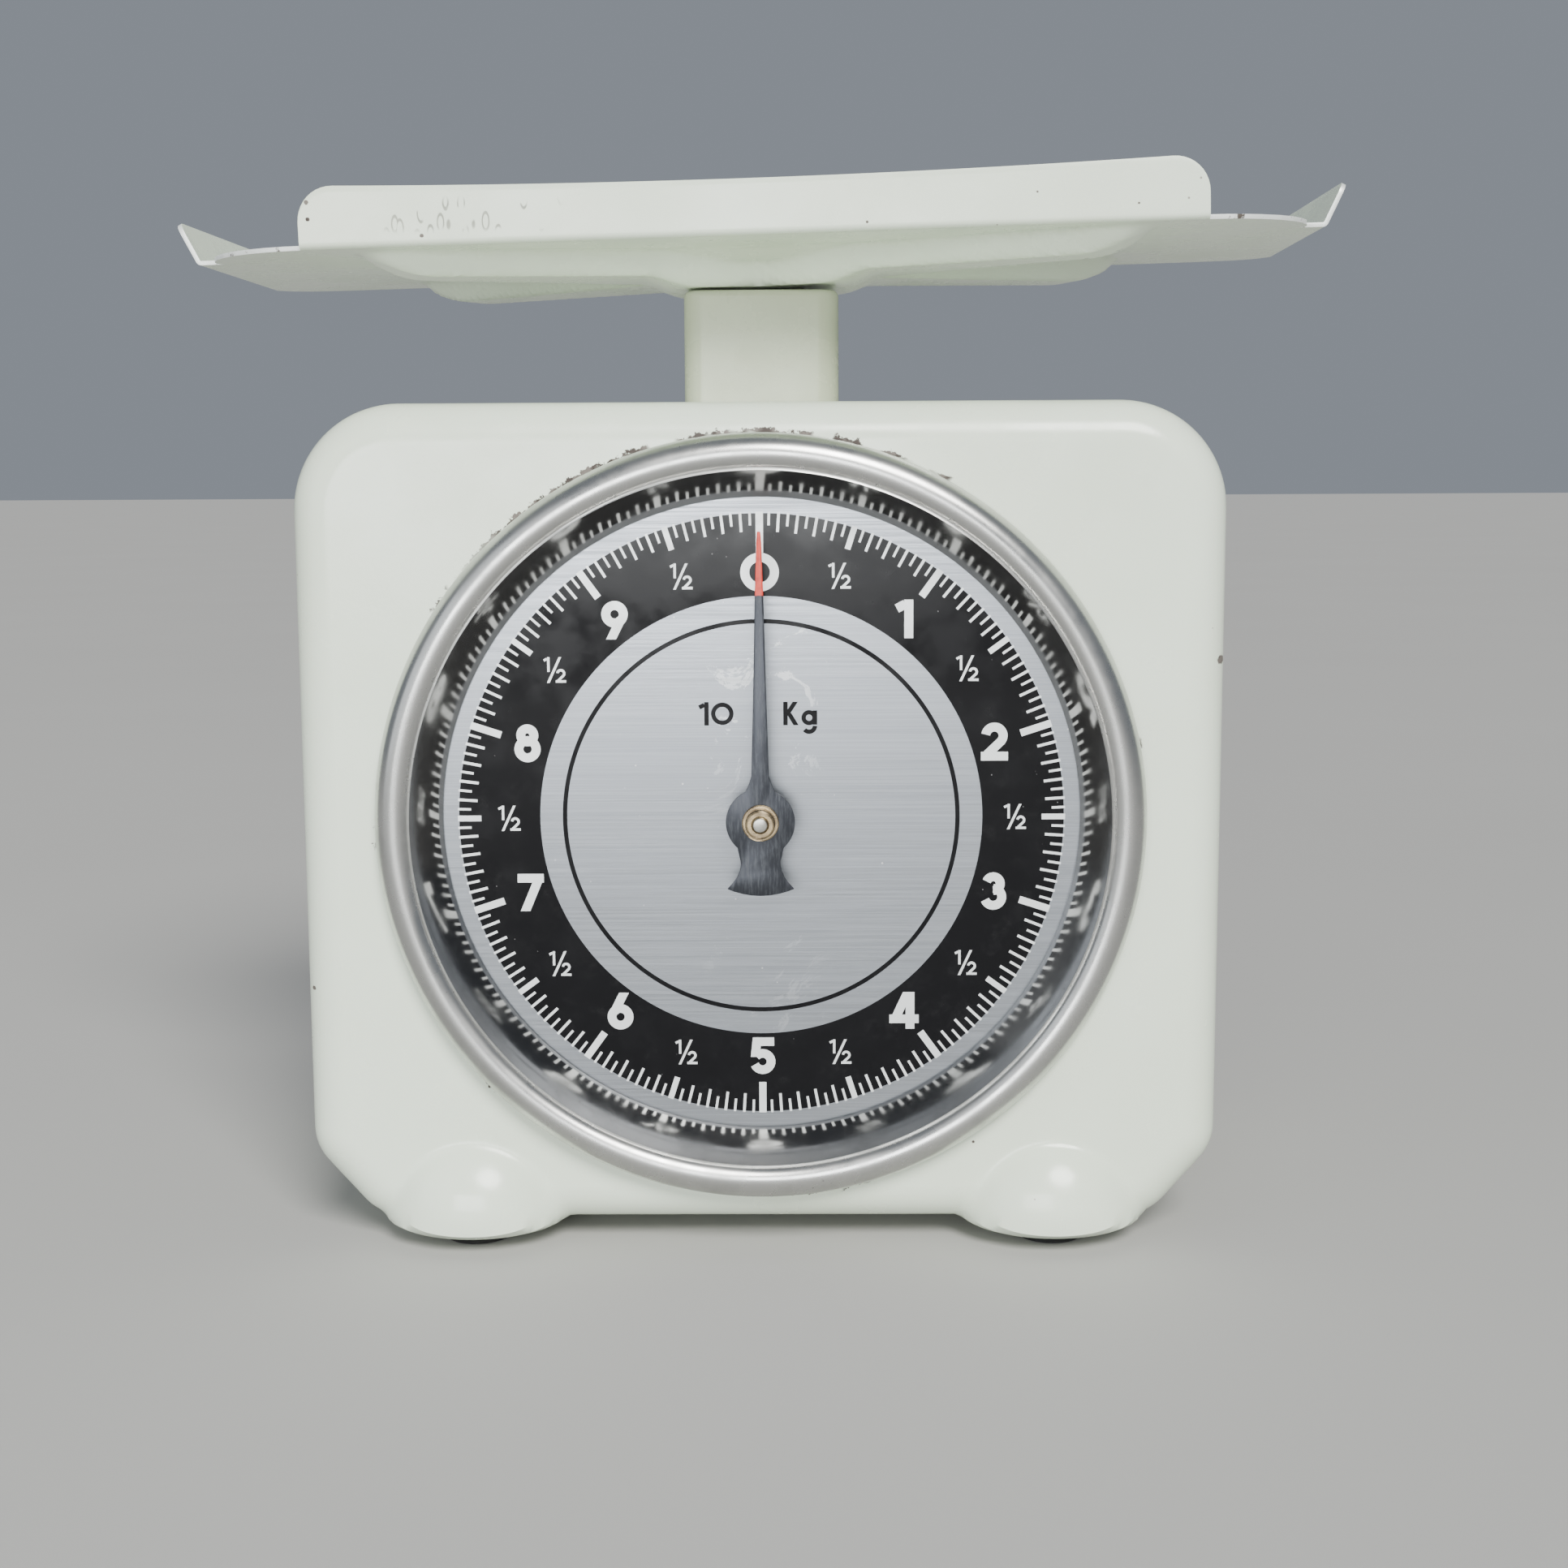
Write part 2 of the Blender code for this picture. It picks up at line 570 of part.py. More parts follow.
def bearing_tab(chassis, name, side, at, z):
    """A tab bent inwards from a cheek, with a screw hole."""
    inner, far = sorted((side * (REAR_TAB_X - 5), side * (CHEEK + PLATE / 2)))
    outline = [(inner, z - 5), (far, z - 5), (far, z + 5), (inner, z + 5)]
    hole = circle((side * REAR_TAB_X, z), SCREW_HOLE, 10)
    boolean(chassis, plate(name, CASE, STEEL, "XZ", depth(at), PLATE, outline, [hole], cutters), "UNION")


def build_bridge():
    """The plate over the cheeks: the post runs through it and the zero rod hangs through it."""
    half = CHEEK + PLATE + TAB
    post = POST_WIDTH / 2 + 2.0
    middle = depth(POST_DEPTH)
    holes = [rounded_box((-post, middle - post), (post, middle + post), POST_ROUND + 2, 4),
             circle((0.0, depth(SPRING_DEPTH)), ROD_RADIUS + 0.3, 16)]
    holes += [circle((x, depth(d)), SCREW_HOLE, 10) for x, d in BRIDGE_SCREWS]
    outline = rounded_box((-half, depth(CHASSIS_FRONT + 2)), (half, depth(CHASSIS_REAR - 2)), 5, 3)
    plate("top_bridge", CASE, STEEL, "XY", BRIDGE_Z, PLATE, outline, holes)
    for index, (x, d) in enumerate(BRIDGE_SCREWS, 1):
        seat = (x, depth(d), BRIDGE_Z + PLATE + GAP)
        screw(f"bridge_screw_{index}", CASE, "Z", seat, 6.0, points_up=True)
    for index, (x, d) in enumerate(CHASSIS_SCREWS, 1):
        seat = (x, depth(d), CASE_BOTTOM - GAP)
        screw(f"floor_screw_{index}", CASE, "Z", seat, 6.0)


def bush_profile(flange_first):
    """A flanged bush that the shaft runs in."""
    bore = SHAFT_RADIUS + PIN_RUNNING
    profile = [(bore, BUSH_LENGTH), (BUSH_RADIUS, BUSH_LENGTH), (BUSH_RADIUS, 2.0), (4.5, 2.0), (4.5, 0),
               (bore, 0)]
    if flange_first:
        return profile
    return [(radius, BUSH_LENGTH - height) for radius, height in reversed(profile)]


def build_bearings():
    """The two plates that hold the pointer shaft's bushes."""
    bush_hole = circle((0.0, DIAL_Z), BUSH_RADIUS + 0.15, 16)
    screws = [circle((side * REAR_TAB_X, z), SCREW_HOLE, 10) for side, z in FRONT_TABS]
    outline = rounded_box((-CHEEK, 62.0), (CHEEK, 136.0), 4, 3)
    plate("front_bearing_plate", CASE, STEEL, "XZ", depth(BEARING_FRONT), PLATE, outline,
          [bush_hole] + screws)
    for index, (side, z) in enumerate(FRONT_TABS, 1):
        seat = (side * REAR_TAB_X, depth(BEARING_FRONT - GAP), z)
        screw(f"front_bearing_screw_{index}", CASE, "Y", seat, 5.0)
    screws = [circle((side * REAR_TAB_X, DIAL_Z), SCREW_HOLE, 10) for side in (-1, 1)]
    outline = rounded_box((-CHEEK + 0.6, DIAL_Z - 5.5), (CHEEK - 0.6, DIAL_Z + 5.5), 3, 3)
    plate("rear_bearing_plate", CASE, STEEL, "XZ", depth(BEARING_REAR), PLATE, outline,
          [bush_hole] + screws)
    for index, side in enumerate((-1, 1), 1):
        seat = (side * REAR_TAB_X, depth(BEARING_REAR - GAP), DIAL_Z)
        screw(f"rear_bearing_screw_{index}", CASE, "Y", seat, 5.0)
    for name, at, flange_first in (("front_bush", CHASSIS_FRONT - 3.0, False),
                                   ("rear_bush", BEARING_REAR - GAP - 2.0, True)):
        turned(name, CASE, BRASS, "Y", (0.0, depth(at), DIAL_Z), bush_profile(flange_first), 16)


# ---------------------------------------------------------------- pointer, shaft and pinion


def pointer_outline():
    """Long tapered blade, round hub, waisted tail with crescent tips; (x, z) from the shaft."""
    blade = [(0.45, 64.5), (0.9, 50.0), (1.9, 10.0)]
    hub = arc((0.0, 0.0), 7.7, 66, -50, 7)
    tail = [(4.5, -8.6), (4.7, -10.2), (5.6, -12.6), (7.5, -15.0)]
    sweep = [(4.0, -16.2)]
    right = blade + hub + tail + sweep
    return right + [(0.0, -16.6)] + [(-x, z) for x, z in reversed(right)]


def build_pointer():
    outline = [(x, DIAL_Z + z) for x, z in pointer_outline()]
    hole = circle((0.0, DIAL_Z), SHAFT_RADIUS + PRESS, 24)
    plate("pointer", POINTER, BLUED, "XZ", depth(POINTER_DEPTH), POINTER_SHEET, outline, [hole])
    hub = (0.0, FRONT_Y, DIAL_Z)
    bore = SHAFT_RADIUS + PRESS
    back = POINTER_DEPTH + POINTER_SHEET + GAP
    turned("pointer_boss", POINTER, BRASS, "Y", hub,
           [(bore, back + 4.5), (2.6, back + 4.5), (2.6, back + 1), (3.6, back + 1), (3.6, back),
            (bore, back)], 24)
    front = POINTER_DEPTH - GAP
    turned("pointer_washer", POINTER, BRASS, "Y", hub,
           [(bore, front), (4.1, front), (4.1, front - 0.7), (bore, front - 0.7)], 28)
    seat = front - 0.7 - GAP
    turned("pointer_nut", POINTER, BRASS, "Y", hub,
           [(bore, seat), (3.3, seat), (3.3, seat - 2.0), (2.8, seat - 2.5), (bore, seat - 2.5)], 24)
    turned("pointer_shaft", POINTER, STEEL, "Y", hub,
           [(0, SHAFT_REAR), (SHAFT_RADIUS - 0.3, SHAFT_REAR), (SHAFT_RADIUS, SHAFT_REAR - 0.4),
            (SHAFT_RADIUS, SHAFT_FRONT + 0.4), (SHAFT_RADIUS - 0.4, SHAFT_FRONT), (0, SHAFT_FRONT)], 24)


def involute_half_angle(radius):
    """Half the angle that one pinion tooth covers at a radius."""
    base = PINION_RADIUS * math.cos(PRESSURE_ANGLE)
    half_pitch = (math.pi * MODULE / 2 - BACKLASH) / (2 * PINION_RADIUS)

    def roll(r):
        angle = math.acos(min(1.0, base / r))
        return math.tan(angle) - angle
    return half_pitch + roll(PINION_RADIUS) - roll(max(radius, base))


def build_pinion():
    base = PINION_RADIUS * math.cos(PRESSURE_ANGLE)
    root = PINION_RADIUS - 1.3 * MODULE
    tip = PINION_RADIUS + 0.9 * MODULE
    radii = [root, base, PINION_RADIUS, tip]
    outline = []
    for tooth in range(TEETH):
        middle = 2 * math.pi * tooth / TEETH
        flank = [(radius, involute_half_angle(radius)) for radius in radii]
        sides = [(r, middle - a) for r, a in flank] + [(r, middle + a) for r, a in reversed(flank)]
        outline += [(r * math.cos(a), DIAL_Z + r * math.sin(a)) for r, a in sides]
    low, high = RACK_DEPTHS[0] - 0.5, RACK_DEPTHS[1] + 0.5
    bore = circle((0.0, DIAL_Z), SHAFT_RADIUS + PRESS, 24)
    plate("pinion", POINTER, BRASS, "XZ", depth(low), high - low, outline, [bore])


def build_rack():
    """Straight rack on the pinion's right: it moves down with the load and turns the pointer."""
    pitch = math.pi * MODULE
    slope = math.tan(PRESSURE_ANGLE)
    tip = PINION_RADIUS - RACK_ADDENDUM
    root = PINION_RADIUS + 1.4 * MODULE
    half_space = pitch / 4 + BACKLASH / 2
    teeth = []
    for step in range(-3, 17):
        middle = DIAL_Z + step * pitch
        wide = half_space + RACK_ADDENDUM * slope
        narrow = half_space - (root - PINION_RADIUS) * slope
        teeth += [(tip, middle - wide), (root, middle - narrow),
                  (root, middle + narrow), (tip, middle + wide)]
    bottom = RACK_PIN[1] - 4.0
    outline = [(tip, teeth[-1][1] + 1), (RACK_BACK, teeth[-1][1] + 1), (RACK_BACK, bottom),
               (RACK_PIN[0] - 2.8, bottom), (tip, teeth[0][1] - 1)] + teeth
    hole = circle(RACK_PIN, RACK_PIN_RADIUS + PRESS, 16)
    plate("rack", LOAD, STEEL, "XZ", depth(RACK_DEPTHS[0]), RACK_DEPTHS[1] - RACK_DEPTHS[0], outline, [hole])
    seat = (RACK_PIN[0], depth(RACK_DEPTHS[0] - GAP), RACK_PIN[1])
    screw("rack_pin", LOAD, "Y", seat, 9.0, head_radius=2.2, head=1.2, radius=RACK_PIN_RADIUS)
    leaf_low, leaf_high = 92.0, 116.0
    reach = (RACK_BACK + GAP, ARM_X - GAP)
    bow = []
    for offset in (0.0, 0.4):
        line = [(reach[0] + offset + (reach[1] - reach[0] - 0.4) * math.sin(math.pi * i / 8) ** 2,
                 leaf_low + (leaf_high - leaf_low) * i / 8) for i in range(9)]
        bow.append(line)
    plate("rack_spring", LOAD, SPRING_STEEL, "XZ", depth(RACK_DEPTHS[0] + 0.5), 3.0, bow[0] + bow[1][::-1])


# ---------------------------------------------------------------- post, carriage and levers


def build_post():
    """A square drawn column: closed top with a square socket, turned-out foot that stops it."""
    middle = depth(POST_DEPTH)
    bm = bmesh.new()
    half = POST_WIDTH / 2
    foot = half + POST_FLANGE
    edge = 1.6
    nip = 0.3 * edge
    rings = [(foot, POST_ROUND + POST_FLANGE, POST_FOOT), (half, POST_ROUND, POST_FOOT),
             (half, POST_ROUND, POST_TOP - edge), (half - nip, POST_ROUND - nip, POST_TOP - nip),
             (half - edge, POST_ROUND - edge, POST_TOP), (SOCKET / 2, 2.0, POST_TOP)]
    loops = []
    for reach, radius, z in rings:
        points = rounded_box((-reach, -reach), (reach, reach), radius, 4)
        loops.append([bm.verts.new((x, middle + y, z)) for x, y in points])
    for lower, upper in zip(loops, loops[1:]):
        count = len(lower)
        for i in range(count):
            bm.faces.new((lower[i], lower[(i + 1) % count], upper[(i + 1) % count], upper[i]))
    post = from_bmesh("post", bm, LOAD, POST_ENAMEL)
    wall = post.modifiers.new("wall", "SOLIDIFY")
    wall.thickness = POST_SHEET * MM
    wall.offset = -1.0
    wall.use_even_offset = True
    spot = (0.0, middle, RIVET_Z)
    boolean(post, round_tool("rivet_hole_post", "X", spot, RIVET_RADIUS + PRESS, -25, 25, 16))


def build_carriage():
    """Two arms riveted inside the post, joined by a rack plate, a floor and the spring plate."""
    front, rear = (depth(value) for value in ARM_DEPTHS)
    middle = depth(POST_DEPTH)
    holes = [circle((middle, z), PIN_RADIUS + PRESS, 16) for z in LEVER_PINS.values()]
    holes.append(circle((middle, RIVET_Z), RIVET_RADIUS + PRESS, 16))
    outline = rounded_box((front, ARM_BOTTOM), (rear, ARM_TOP), 3, 3)
    carriage = plate("carriage", LOAD, STEEL, "YZ", ARM_X, PLATE, outline, holes)
    span = ARM_X + PLATE / 2
    floor = [(-span, front + 4), (span, front + 4), (span, rear - 4), (-span, rear - 4)]
    web = [(-span, 74.0), (span, 74.0), (span, 90.0), (-span, 90.0)]
    wide, tail = SPRING_X + 5, depth(SPRING_DEPTH + 6)
    shoulder = depth(72.0)
    tee = [(-span, front + 4), (span, front + 4), (span, shoulder), (wide, shoulder + 3), (wide, tail),
           (-wide, tail), (-wide, shoulder + 3), (-span, shoulder)]
    pin = circle(RACK_PIN, RACK_PIN_RADIUS + PRESS, 16)
    for name, plane, at, shape, cuts in (("left_arm", "YZ", -ARM_X - PLATE, outline, holes),
                                         ("carriage_floor", "XY", ARM_BOTTOM + 0.5, floor, ()),
                                         ("rack_web", "XZ", depth(62.0), web, [pin]),
                                         ("spring_plate", "XY", SPRING_PLATE_Z, tee, spring_eyes())):
        boolean(carriage, plate(name, LOAD, STEEL, plane, at, PLATE, shape, cuts, cutters), "UNION")
    for side, hand in ((-1, "left"), (1, "right")):
        start, end = side * (ARM_X - 1.2), side * (POST_WIDTH / 2 + GAP)
        head = side * (POST_WIDTH / 2 + GAP + 1.0)
        profile = [(0, head), (2.4, head), (3.4, end), (RIVET_RADIUS, end), (RIVET_RADIUS, start),
                   (0, start)]
        if side < 0:
            profile.reverse()
        turned("post_rivet_" + hand, LOAD, STEEL, "X", (0.0, middle, RIVET_Z), profile, 16)
    for level, z in LEVER_PINS.items():
        reach = LEVER_X + LEVER_SHEET + 1.8
        profile = [(0, reach), (PIN_RADIUS, reach), (PIN_RADIUS, -reach), (0, -reach)]
        turned(f"{level}_carriage_pin", LOAD, STEEL, "X", (0.0, middle, z), profile, 20)


def build_levers():
    """Stirrup levers: round hole on the chassis pivot, long slot on the carriage pin."""
    for level, pin_z in LEVER_PINS.items():
        carrier = LEVERS[level]
        pivot = (depth(LEVER_PIVOT_DEPTH), pin_z - TRAVEL / 2)
        angle = math.atan2(TRAVEL / 2, LEVER_REACH)

        def along(s, across=0.0):
            return (pivot[0] + s * math.cos(angle) - across * math.sin(angle),
                    pivot[1] + s * math.sin(angle) + across * math.cos(angle))
        full = math.hypot(LEVER_REACH, TRAVEL / 2)
        outline = slot(along(0), along(full), 4.6, 8)
        holes = [circle(pivot, PIN_RADIUS + PIN_RUNNING, 24),
                 slot(along(LEVER_REACH - 0.2), along(full + 0.6), SLOT_RADIUS, 8)]
        lever = plate(f"{level}_lever", carrier, STEEL, "YZ", LEVER_X, LEVER_SHEET, outline, holes)
        left = plate(f"{level}_left_arm", carrier, STEEL, "YZ", -LEVER_X - LEVER_SHEET, LEVER_SHEET,
                     outline, holes, cutters)
        boolean(lever, left, "UNION")
        web = [along(5, -0.8), along(15, -0.8), along(15, 0.8), along(5, 0.8)]
        span = LEVER_X + LEVER_SHEET / 2
        bar = plate(f"{level}_web", carrier, STEEL, "YZ", -span, 2 * span, web, (), cutters)
        boolean(lever, bar, "UNION")
        reach = CHEEK + PLATE + 2.0
        profile = [(0, reach), (PIN_RADIUS, reach), (PIN_RADIUS, -reach), (0, -reach)]
        turned(f"{level}_lever_pivot", CASE, STEEL, "X", (0.0, *pivot), profile, 24)


# ---------------------------------------------------------------- springs, zero setting and stop


def spring_path(x):
    """Hook through the carriage, coil, hook through the yoke."""
    y = depth(SPRING_DEPTH)
    below = SPRING_PLATE_Z - GAP - SPRING_WIRE
    above = YOKE_Z + YOKE_SHEET + GAP + SPRING_WIRE
    coil = SPRING_TURNS * SPRING_PITCH
    start = (SPRING_PLATE_Z + PLATE + YOKE_Z - coil) / 2
    points = [(x, y + 3.5, below + 0.4), (x, y + 1.2, below), (x, y, below + 1.0), (x, y, start - 2.5)]
    steps = 7
    for i in range(SPRING_TURNS * steps + 1):
        turn = 2 * math.pi * i / steps
        points.append((x + SPRING_RADIUS * math.sin(turn), y - SPRING_RADIUS * math.cos(turn),
                       start + SPRING_PITCH * i / steps))
    points += [(x, y, start + coil + 2.5), (x, y, above - 1.0), (x, y + 1.2, above),
               (x, y + 3.5, above - 0.4)]
    return points


def spring_eyes():
    """Holes that the springs' hooks go through."""
    return [circle((side * SPRING_X, depth(SPRING_DEPTH)), 1.5, 12) for side in (-1, 1)]


def build_springs():
    """Two springs, the yoke they hang from, and its threaded rod."""
    for side, hand in ((-1, "left"), (1, "right")):
        wire("main_spring_" + hand, CASE, SPRING_STEEL, spring_path(side * SPRING_X), SPRING_WIRE)
    y = depth(SPRING_DEPTH)
    holes = [circle((0.0, y), ROD_RADIUS + PRESS, 20)] + spring_eyes()
    outline = rounded_box((-SPRING_X - 5, y - 4), (SPRING_X + 5, y + 4), 3, 3)
    plate("spring_yoke", ZERO_ROD, STEEL, "XY", YOKE_Z, YOKE_SHEET, outline, holes)
    top = CASE_TOP + GAP + KNOB_HEIGHT - 1.0
    foot = YOKE_Z - GAP
    turned("zero_rod", ZERO_ROD, STEEL, "Z", (0.0, y, 0.0),
           [(0, top), (ROD_RADIUS, top), (ROD_RADIUS, foot), (3.6, foot), (3.6, foot - 2), (0, foot - 2)], 20)
    build_knob(y)


def build_knob(y):
    """Knurled disc on top of the case, whose hub stands on the bridge."""
    bore = ROD_RADIUS + 0.08
    ridges = 20
    outline = []
    for i in range(ridges):
        middle = 360 * i / ridges
        for reach, swing in ((KNOB_RADIUS - 0.5, -9.0), (KNOB_RADIUS, -4.0), (KNOB_RADIUS, 4.0)):
            outline += arc((0.0, y), reach, middle + swing, middle + swing, 1)[:1]
    low = CASE_TOP + GAP
    hole = circle((0.0, y), bore, 20)
    knob = plate("zero_knob", ZERO_KNOB, PLASTIC, "XY", low, KNOB_HEIGHT, outline, [hole])
    foot = BRIDGE_Z + PLATE + GAP
    hub = turned("zero_knob_hub", ZERO_KNOB, PLASTIC, "Z", (0.0, y, 0.0),
                 [(bore, low + 1), (KNOB_HUB, low + 1), (KNOB_HUB, foot), (bore, foot)], 20, cutters)
    boolean(knob, hub, "UNION")


def build_stop():
    """Rubber-tipped pillar that the carriage's floor meets past full load."""
    low = FLOOR_Z + PLATE + GAP
    high = ARM_BOTTOM - TRAVEL - GAP
    turned("overload_stop", CASE, RUBBER, "Z", (0.0, depth(POST_DEPTH), 0.0),
           [(0, high), (4, high), (5, high - 1.5), (5, low + 3), (8, low + 2), (8, low), (0, low)], 20)


# ---------------------------------------------------------------- tray


def cross_outline(inset, shrink):
    """The X-shaped pressing seen from above: four arms with round tips."""
    points = []
    tip_length = math.hypot(*ARM_TIP)
    for sx, sy in ((1, 1), (-1, 1), (-1, -1), (1, -1)):
        angle = math.atan2(sy * ARM_TIP[1], sx * ARM_TIP[0])
        half_root, half_tip = 15.0 - inset, 8.0 - inset
        reach = tip_length - half_tip - shrink
        half_middle = (half_root + half_tip) / 2
        local = [(38.0, -half_root), (reach * 0.7, -half_middle), (reach, -half_tip),
                 (reach + half_tip, 0.0), (reach, half_tip), (reach * 0.7, half_middle), (38.0, half_root)]
        points += [(s * math.cos(angle) - t * math.sin(angle), s * math.sin(angle) + t * math.cos(angle))
                   for s, t in local]
    return points


def tray_rim():
    """The flat base's outline between its bends, front left corner first, anticlockwise from above."""
    wide, deep = TRAY_HALF[0] - BEND, TRAY_HALF[1] - BEND
    lip = [LIP_HALF * t for t in (-1.0, -0.975, -0.92, -0.6, -0.3, 0.0, 0.3, 0.6, 0.92, 0.975, 1.0)]
    rear = [REAR_LIP_HALF * t for t in (1.0, 0.975, 0.92, 0.5, 0.0, -0.5, -0.92, -0.975, -1.0)]
    wing = [WING_FRONT, WING_FRONT + 2.0, 0.0, 20.0, WING_REAR - 2.0, WING_REAR]
    corner = [(109.0, -46.5), (117.0, -41.5), (122.5, -35.0), (125.5, -28.5)]
    front_edge = [(u, -deep) for u in lip]
    right_edge = [(wide, v) for v in wing]
    rear_edge = [(u, deep) for u in rear]
    left_edge = [(-wide, v) for v in reversed(wing)]
    rear_corner = [(126.0, 46.5), (120.0, 48.5)]
    loop = front_edge + corner + right_edge + rear_corner + rear_edge
    loop += [(-u, v) for u, v in reversed(rear_corner)] + left_edge + [(-u, v) for u, v in reversed(corner)]
    return loop, front_edge, right_edge, rear_edge, left_edge


def fold_up(bm, verts, outward, rises, lean):
    """A flange: quarter bend, then up to each vertex's own height, leaning outwards."""
    turn = math.radians(90) - lean
    rows = [verts]
    for step in (1, 2, 3):
        angle = turn * step / 3
        shift = Vector(outward) * BEND * math.sin(angle)
        lift = BEND * (1 - math.cos(angle))
        rows.append([bm.verts.new(v.co + shift + Vector((0, 0, lift))) for v in verts])
    heading = Vector(outward) * math.cos(turn) + Vector((0, 0, math.sin(turn)))
    rows.append([bm.verts.new(v.co + heading * rise) for v, rise in zip(rows[-1], rises)])
    for lower, upper in zip(rows, rows[1:]):
        for a, b, c, d in zip(lower, lower[1:], upper[1:], upper):
            bm.faces.new((a, b, c, d))


def lip_rises(edge, half):
    """Height of a lip along its length: dished in the middle, round at both ends."""
    rises = []
    for u, _ in edge:
        t = abs(u) / half
        top = LIP_HEIGHT - LIP_DIP * (1 - t * t) - BEND
        near = max(0.0, LIP_ROUND - (half - abs(u)))
        rises.append(top - (LIP_ROUND - math.sqrt(max(0.0, LIP_ROUND ** 2 - near ** 2))))
    return rises


def build_tray():
    """One sheet: flat base, X pressing with a boss, two lips and two wings."""
    bm = bmesh.new()
    loop, front_edge, right_edge, rear_edge, left_edge = tray_rim()
    rim = {point: bm.verts.new((*point, 0.0)) for point in loop}
    ring = [rim[point] for point in loop]
    levels = [(cross_outline(0.0, 0.0), 0.0), (cross_outline(4.0, 1.0), -ARM_DROP + 1.0),
              (cross_outline(5.5, 2.0), -ARM_DROP), (boss_loop(28.0), -ARM_DROP),
              (boss_loop(BOSS_HALF), -BOSS_DROP)]
    rings = [[bm.verts.new((*point, z)) for point in points] for points, z in levels]
    for outer, inner in zip(rings, rings[1:]):
        for i in range(len(outer)):
            j = (i + 1) % len(outer)
            bm.faces.new((outer[i], outer[j], inner[j], inner[i]))
    bm.faces.new(rings[-1])
    edges = [bm.edges.new((a, b)) for a, b in zip(ring, ring[1:] + ring[:1])]
    edges += [bm.edges.get((a, b)) for a, b in zip(rings[0], rings[0][1:] + rings[0][:1])]
    bmesh.ops.triangle_fill(bm, use_beauty=True, edges=edges)
    for edge, half, outward in ((front_edge, LIP_HALF, (0, -1, 0)), (rear_edge, REAR_LIP_HALF, (0, 1, 0))):
        fold_up(bm, [rim[p] for p in edge], outward, lip_rises(edge, half), 0.0)
    lean = math.atan2(WING_LEAN, WING_RISE)
    rises = [WING_RISE - BEND] * len(right_edge)
    fold_up(bm, [rim[p] for p in right_edge], (1, 0, 0), rises, lean)
    fold_up(bm, [rim[p] for p in left_edge], (-1, 0, 0), rises, lean)
    bmesh.ops.transform(bm, matrix=tray_pose(), verts=bm.verts)
    tray = from_bmesh("tray", bm, TRAY, ENAMEL)
    sheet = tray.modifiers.new("sheet", "SOLIDIFY")
    sheet.thickness = TRAY_SHEET * MM
    sheet.offset = -1.0
    sheet.use_even_offset = True
    boolean(tray, seat_rivet_hole("tray_rivet_hole"))


def boss_loop(half):
    """The round-cornered boss, with one point for each point of the X pressing."""
    points = []
    for x, y in cross_outline(5.5, 2.0):
        angle = math.atan2(y, x)
        reach = half / max(abs(math.cos(angle)), abs(math.sin(angle)))
        reach = min(reach, half * 1.18)
        points.append((reach * math.cos(angle), reach * math.sin(angle)))
    return points


def tray_pose():
    """From the tray's own frame (on its base, over the post) to the leaning tray."""
    move = Matrix.Translation((TRAY_SHIFT, depth(POST_DEPTH), POST_TOP))
    lift = Matrix.Translation((0, 0, TRAY_BOTTOM - POST_TOP))
    return move @ Matrix.Rotation(TRAY_TURN, 4, "Z") @ Matrix.Rotation(-TRAY_TILT, 4, "Y") @ lift


def pose_turned(obj):
    """Put a piece turned in the tray's own frame where the tray is."""
    pose = tray_pose()
    pose.translation *= MM
    obj.matrix_local = Matrix.Translation(-TRAY.location) @ pose


def seat_rivet_hole(name):
    """Cutter for the rivet that joins the tray to its seat."""
    radius = SEAT_RIVET_RADIUS + PRESS
    hole = turned(name, TRAY, STEEL, "Z", (0, 0, 0), [(0, -3), (radius, -3), (radius, -20), (0, -20)],
                  20, cutters)
    pose_turned(hole)
    return hole


def build_seat():
    """A square cup riveted under the boss, which drops into the post's socket."""
    top = -BOSS_DROP - GAP
    half = SEAT_WIDTH / 2
    bm = bmesh.new()
    rings = [(half, 2.0, top - SEAT_DEPTH), (half, 2.0, top - 1.5), (half - 1.5, 1.0, top)]
    loops = [[bm.verts.new((x, y, z)) for x, y in rounded_box((-reach, -reach), (reach, reach), radius, 3)]
             for reach, radius, z in rings]
    for lower, upper in zip(loops, loops[1:]):
        for i in range(len(lower)):
            j = (i + 1) % len(lower)
            bm.faces.new((lower[i], lower[j], upper[j], upper[i]))
    bm.faces.new(loops[-1])
    bmesh.ops.transform(bm, matrix=tray_pose(), verts=bm.verts)
    seat = from_bmesh("tray_seat", bm, TRAY, STEEL)
    wall = seat.modifiers.new("wall", "SOLIDIFY")
    wall.thickness = SEAT_SHEET * MM
    wall.offset = -1.0
    wall.use_even_offset = True
    boolean(seat, seat_rivet_hole("seat_rivet_hole"))
    upper = -BOSS_DROP + TRAY_SHEET + GAP
    lower = top - SEAT_SHEET - GAP
    shank, head = SEAT_RIVET_RADIUS, 4.5
    rivet = turned("tray_rivet", TRAY, STEEL, "Z", (0, 0, 0),
                   [(0, upper + 1.2), (3.0, upper + 1.0), (head, upper), (shank, upper), (shank, lower),
                    (head, lower), (3.0, lower - 1.0), (0, lower - 1.2)], 20)
    pose_turned(rivet)


build_housing()
build_back_cover()
build_feet()
build_bezel()
build_dial()
build_chassis()
build_bridge()
build_bearings()
build_pointer()
build_pinion()
build_rack()
build_post()
build_carriage()
build_levers()
build_springs()
build_stop()
build_tray()
build_seat()
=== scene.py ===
"""Looks of the counter-top dial scale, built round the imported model.

Sizes are written in millimetres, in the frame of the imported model, and become metres in add().
Depths count back from the case's front face, as they do on the real case.
"""
import json
import math

import bmesh
import bpy
import numpy as np
from mathutils import Matrix, Vector


